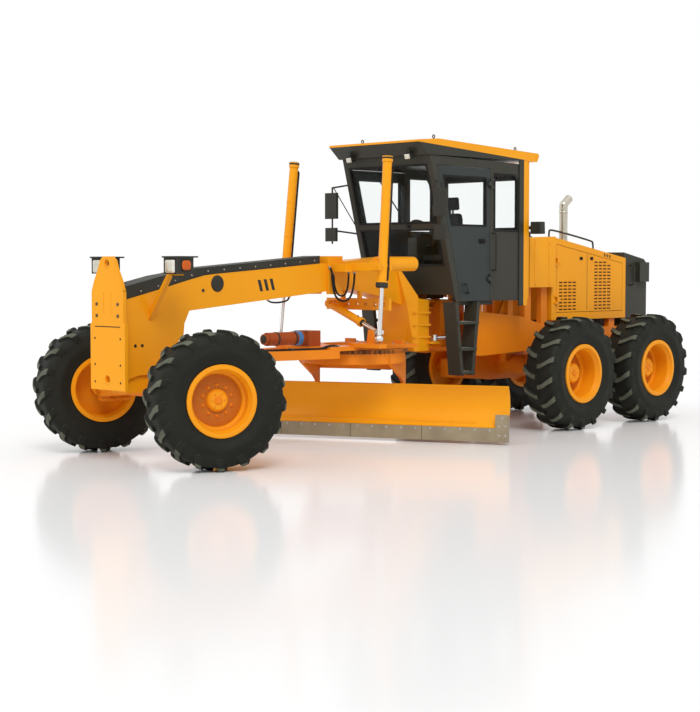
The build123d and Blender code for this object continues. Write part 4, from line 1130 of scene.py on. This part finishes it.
housing, glass = bmesh.new(), bmesh.new()
for y in (-0.46, 0.46):
    spot = look_along((0.372, y, 3.172), (0.96, 0, -0.28))
    add_block(housing, (-0.046, -0.034, -0.060), (0.046, 0.034, 0.010), spot)
    add_pane(glass, spot @ shift(0, 0, 0.009), 0.040, 0.028, 0.006, 0.008)
    add_block(housing, (0.335, y - 0.016, 3.202), (0.361, y + 0.016, 3.262))
place_piece("work_lamps", housing, "cover_black", "rear", 35, 0.004)
place_piece("work_lenses", glass, "lens_clear", "rear", 50)

wiper = bmesh.new()
pivot = Vector((front_x(2.400) + 0.004, 0.18, 2.400))
tip = Vector((front_x(2.860) + 0.022, -0.10, 2.860))
start = pivot + Vector((0.022, 0, -0.002))
arm = tip - start
blade = tip - arm.normalized() * 0.03 + Vector((-0.008, 0, 0))
add_button(wiper, look_along(pivot, (0.966, 0, -0.26)), 0.020, 0.016, 0.030, 20)
add_block(wiper, (-0.006, -0.004, 0.0), (0.006, 0.004, arm.length), look_along(start, arm))
add_block(wiper, (-0.005, -0.008, -0.30), (0.005, 0.004, 0.22), look_along(blade, arm))
place_piece("windscreen_wiper", wiper, "seal_rubber", "rear", bevel=0.001)

for side, sign in SIDES:
    handle, silver, grip = bmesh.new(), bmesh.new(), bmesh.new()
    plate = side_face(sign, CAB_HALF) @ shift(-0.640, 2.235, 0)
    add_block(handle, (-0.055, -0.028, -0.001), (0.055, 0.028, 0.006), plate, 0.94)
    add_block(handle, (-0.045, -0.010, 0.020), (0.035, 0.010, 0.030), plate, 0.92)
    add_block(handle, (-0.045, -0.010, 0.005), (-0.030, 0.010, 0.026), plate)
    add_turned(handle, [(0, 0.012), (0.009, 0.012), (0.010, 0.005)], plate @ shift(0.040, 0, 0), 16)
    place_piece("door_handle_" + side, handle, "seal_rubber", "cab_door_" + side, bevel=0.0015)
    make_tube("entry_rail_" + side, mirrored(ENTRY_RAIL, sign), 0.011, "cover_black", "rear")
    make_tube("mirror_brace_" + side, mirrored(MIRROR_BRACE, sign), 0.006, "cover_black", "rear")
    for y0, y1, z0, z1 in MIRRORS:
        add_block(silver, (0.2480, sign * y0, z0), (0.2505, sign * y1, z1))
    place_piece("mirror_faces_" + side, silver, "mirror_silver", "rear")
    for z, x0, x1 in STEPS:
        for n in range(9):
            for row in range(4):
                x, y = x0 + (x1 - x0) * (n + 0.5) / 9, 0.600 + row * 0.040
                add_button(grip, shift(x, sign * y, z), 0.007, 0.0045, 0.0035, 8)
    place_piece("tread_grip_" + side, grip, "bolt_steel", "rear")
print("cab dressed")

# %% [markdown]
# ## Seat
#
# The driver's seat is three sewn cushions on a pedestal: a base, a back and a
# head rest. Each is a crowned closed form. A grid on a rounded box swells from
# its seam, and sewn channels press shallow grooves across its face. The
# pedestal stays hard, so it is drawn too, and the four together stand in for
# the seat's plain solid.

# %% Sew the seat's cushions
GRID = 24
PULL, CORNER = 0.05, 0.10
SWELL_POWER, SEAM_SHARE = 0.38, 0.10
GROOVE_DEPTH, GROOVE_WIDTH = 0.010, 0.035


def pull(across, along):
    """Sides pull in a little between the corners, and the corners are rounded."""
    side = PULL * (1 - abs(along) ** 3) * abs(across) ** 6
    return 1 - side - CORNER * abs(across * along) ** 6


def draw_cushion(size, crown, channels, place):
    """A pillow form: `size` is its full width, depth and height at the seam."""
    cushion = bmesh.new()
    across, deep, thick = size
    sheets = []
    for face in (1, -1):
        grid = []
        for i in range(GRID + 1):
            row = []
            for j in range(GRID + 1):
                u, v = 2 * i / GRID - 1, 2 * j / GRID - 1
                swell = ((1 - abs(u) ** 4) * (1 - abs(v) ** 4)) ** SWELL_POWER
                height = thick / 2 * (SEAM_SHARE + (1 - SEAM_SHARE) * swell)
                height += crown * (1 - u * u) * (1 - v * v)
                for groove in channels if face == 1 else ():
                    dip = math.exp(-((v - groove) / GROOVE_WIDTH) ** 2)
                    height -= GROOVE_DEPTH * dip * min(1.0, swell * 1.5)
                spot = Vector((across / 2 * u * pull(u, v), deep / 2 * v * pull(v, u), face * height))
                row.append(cushion.verts.new(place @ spot))
            grid.append(row)
        sheets.append(grid)
        for i in range(GRID):
            for j in range(GRID):
                cushion.faces.new((grid[i][j], grid[i + 1][j], grid[i + 1][j + 1], grid[i][j + 1]))
    edge = [(i, 0) for i in range(GRID)] + [(GRID, j) for j in range(GRID)]
    edge += [(GRID - i, GRID) for i in range(GRID)] + [(0, GRID - j) for j in range(GRID)]
    join_loops(cushion, [[grid[i][j] for i, j in edge] for grid in sheets])
    return cushion


CUSHIONS = (
    # name, size, crown, channels, centre, tilt in degrees
    ("seat_base", (0.47, 0.47, 0.105), 0.012, (-0.45, 0.0, 0.45), (-0.665, 0.0, 2.020), 0.0),
    ("seat_back", (0.44, 0.50, 0.085), 0.010, (-0.5, 0.0, 0.5), (-0.868, 0.0, 2.335), 82.0),
    ("head_rest", (0.22, 0.16, 0.065), 0.008, (), (-0.900, 0.0, 2.690), 84.0),
)
for name, size, crown, channels, centre, tilt in CUSHIONS:
    cushion = draw_cushion(size, crown, channels, shift(*centre) @ spin(-tilt, "Y") @ spin(90))
    cushion = place_piece(name, cushion, "seat_cover", "rear", 60)
    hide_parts("seat")
stand = bmesh.new()
add_block(stand, (-0.720, -0.150, 1.665), (-0.560, 0.150, 1.950), taper=0.8)
add_block(stand, (-0.860, -0.200, 1.945), (-0.480, 0.200, 1.972))
for y0, y1 in ((-0.030, -0.014), (0.014, 0.030)):
    add_block(stand, (-0.905, y0, 2.540), (-0.885, y1, 2.640))
for y0, y1 in ((-0.180, -0.140), (0.140, 0.180)):
    add_block(stand, (-0.888, y0, 1.960), (-0.868, y1, 2.160))
pedestal = place_piece("seat_pedestal", stand, "cover_black", "rear", bevel=0.003)
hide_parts("seat")
print("cushions:", len(CUSHIONS))

# %% [markdown]
# ## Blade, circle and drawbar
#
# The cutting edge is a row of hardened plates held by countersunk plough
# bolts, and the end bits by more of them. All of it is drawn straight and then
# turned by the blade's parked angle. The circle's guide shoes are bolted to
# the drawbar's deck, where the drive motor stands behind a blue coupling.

# %% Bolt the cutting edge and dress the drawbar
CIRCLE_X = 0.780
YAWED = shift(CIRCLE_X, 0, 0) @ spin(25)
EDGE_BOLTS = [(0.080, -1.615 + n * 0.170, 0.155) for n in range(20)]
BIT_BOLTS = [(0.084, sign * y, z) for _, sign in SIDES
             for y, z in ((1.72, 0.10), (1.79, 0.10), (1.72, 0.20), (1.79, 0.20), (1.755, 0.29))]
PLATE_JOINTS = (-0.840, 0.0, 0.840)
DECK = 1.0755
DECK_BOLTS = ((0.30, 0.40), (0.30, -0.40), (1.45, 0.40), (1.45, -0.40), (1.30, 0.30), (1.30, -0.30))
MOTOR_BAND = ((0.0718, -0.012), (0.0765, -0.010), (0.0765, 0.010), (0.0718, 0.012))
COUPLING = ((0.0715, -0.030), (0.0790, -0.028), (0.0810, 0.0), (0.0790, 0.028), (0.0715, 0.030))


def on_drive(x):
    """A place on the drive motor's axis."""
    return look_along((x, 0, 1.165), FORWARD)


plough, joints, deck, motor, coupling = (bmesh.new() for _ in range(5))
for spot in EDGE_BOLTS + BIT_BOLTS:
    add_button(plough, YAWED @ look_along(spot, FORWARD), 0.015, 0.011, 0.0035, 16)
for y in PLATE_JOINTS:
    add_block(joints, (0.0795, y - 0.0025, 0.031), (0.0806, y + 0.0025, 0.181), YAWED)
for turn in (45, 135, 225, 315):
    for y in (-0.035, 0.035):
        add_bolt(deck, shift(CIRCLE_X, 0, 0) @ spin(turn) @ look_along((0.4585, y, DECK), UPWARD), 0.013)
for x, y in DECK_BOLTS:
    add_bolt(deck, look_along((x, y, DECK), UPWARD), 0.012)
for spot in bolt_circle(on_drive(1.572), 4, 0.095, start=45):
    add_bolt(motor, spot, 0.009)
for x in (1.700, 1.960):
    add_turned(motor, MOTOR_BAND, on_drive(x), 40)
add_button(motor, on_drive(2.130), 0.045, 0.030, 0.004, 32)
add_turned(coupling, COUPLING, on_drive(1.640), 40)
place_piece("plough_bolts", plough, "bolt_steel", "moldboard")
place_piece("edge_joints", joints, "dark_joint_and_painted_shade", "moldboard")
place_piece("deck_bolts", deck, "bolt_steel", "drawbar")
place_piece("drive_trim", motor, "cover_black", "drawbar")
place_piece("drive_coupling", coupling, "coupling_blue", "drawbar")
print("plough bolts:", len(EDGE_BOLTS + BIT_BOLTS))

# %% [markdown]
# ## Hydraulic lines
#
# Oil reaches the cylinders through black lines. Each one drawn here starts and
# ends on the same body, in a hexagon fitting, so that no joint can tear it: two
# hang in loops beside the saddle, one dips under the beam, and two lie along
# the drawbar's left leg. Their control points are few, and the curve does the
# rest.

# %% Run the lines
LINES = (
    # name, body, radius, points
    ("saddle_line_outer", "front", 0.0115, (
        (1.325, 0.182, 1.930), (1.325, 0.222, 1.925), (1.325, 0.226, 1.760), (1.300, 0.262, 1.575),
        (1.190, 0.350, 1.560), (1.130, 0.375, 1.740), (1.130, 0.375, 1.886))),
    ("saddle_line_inner", "front", 0.0105, (
        (1.285, 0.182, 1.860), (1.285, 0.212, 1.855), (1.285, 0.214, 1.740), (1.255, 0.240, 1.625),
        (1.185, 0.290, 1.620), (1.160, 0.315, 1.760), (1.160, 0.315, 1.886))),
    ("beam_line", "front", 0.0095, (
        (2.160, 0.100, 1.600), (2.160, 0.100, 1.575), (2.060, 0.105, 1.555), (1.900, 0.105, 1.570),
        (1.850, 0.100, 1.600), (1.850, 0.100, 1.627))),
    ("drawbar_line_outer", "drawbar", 0.0095, (
        (2.960, 0.085, 1.047), (2.940, 0.092, 1.062), (2.300, 0.232, 1.062), (1.700, 0.365, 1.062),
        (1.600, 0.390, 1.064), (1.540, 0.400, 1.090), (1.420, 0.400, 1.090), (1.400, 0.400, 1.070))),
    ("drawbar_line_inner", "drawbar", 0.0095, (
        (2.900, 0.070, 1.047), (2.880, 0.076, 1.062), (2.280, 0.207, 1.062), (1.690, 0.335, 1.062),
        (1.600, 0.355, 1.064), (1.540, 0.365, 1.090), (1.400, 0.365, 1.090), (1.380, 0.365, 1.070))),
)
LEG_SLOPE = 0.2205

for name, body, radius, points in LINES:
    make_tube(name, points, radius, "seal_rubber", body)
    fittings = bmesh.new()
    hexagon = ((0, -0.002), (radius * 1.7, -0.002), (radius * 1.7, 0.014), (radius * 1.35, 0.020), (0, 0.020))
    for end, nearby in ((points[0], points[1]), (points[-1], points[-2])):
        add_turned(fittings, hexagon, look_along(end, Vector(nearby) - Vector(end)), 6)
    place_piece(name + "_fittings", fittings, "bolt_steel", body)
clamps = bmesh.new()
for back in (0.150, 0.525, 0.900):
    place = shift(2.90 - back, 0.087 + back * LEG_SLOPE, 1.050)
    place @= Matrix.Rotation(-math.atan(LEG_SLOPE), 4, "Z")
    add_block(clamps, (-0.014, -0.034, -0.002), (0.014, 0.034, 0.026), place, 0.92)
place_piece("line_clamps", clamps, "dark_paint", "drawbar", bevel=0.002)
print("hydraulic lines:", len(LINES))

# %% [markdown]
# ## Small cylinders
#
# The centre-shift and articulation cylinders get the same bolted collar as the
# big ones, at the mouth of each barrel, and an oil port on top. A pin carries
# the centre-shift rod's eye on the drawbar's lug.

# %% Collar the small cylinders
SMALL = (
    # body, root, tip, mouth distance, barrel radius, rod radius
    ("centre_shift_barrel", (1.000, -0.150, 1.530), (1.000, 0.620, 1.225), 0.555, 0.044, 0.022),
    ("artic_barrel_left", (-0.985, 0.325, 1.120), (-0.255, 0.305, 1.120), 0.480, 0.042, 0.022),
    ("artic_barrel_right", (-0.985, -0.325, 1.120), (-0.255, -0.305, 1.120), 0.480, 0.042, 0.022),
)
PORT = ((0.013, -0.004), (0.013, 0.008), (0.009, 0.010), (0, 0.010))
PIN = ((0, 0.108), (0.015, 0.106), (0.018, 0.100), (0.018, 0.030), (0.026, 0.022), (0.026, 0.0))

for body, root, tip, mouth, barrel, rod in SMALL:
    root, tip = Vector(root), Vector(tip)
    along = (tip - root).normalized()
    collar, spot = bmesh.new(), look_along(root + along * mouth, along)
    face = [(barrel * 0.9, 0.0), (barrel * 0.9, 0.004), (rod * 1.5, 0.005), (rod * 1.15, 0.005)]
    add_turned(collar, face, spot)
    for ring in bolt_circle(spot, 6, barrel * 0.72, 0.002):
        add_bolt(collar, ring, 0.0055, False)
    add_turned(collar, PORT, look_along(root + along * (mouth - 0.07) + Vector((0, 0, barrel)), UPWARD), 6)
    place_piece(body + "_collar", collar, "cover_black", body)
pin = bmesh.new()
add_turned(pin, PIN, look_along(SMALL[0][2], FORWARD))
place_piece("centre_shift_pin", pin, "bolt_steel", "centre_shift_rod")
print("small cylinders:", len(SMALL))

# %% Measure the bounds of what is shown
low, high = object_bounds()
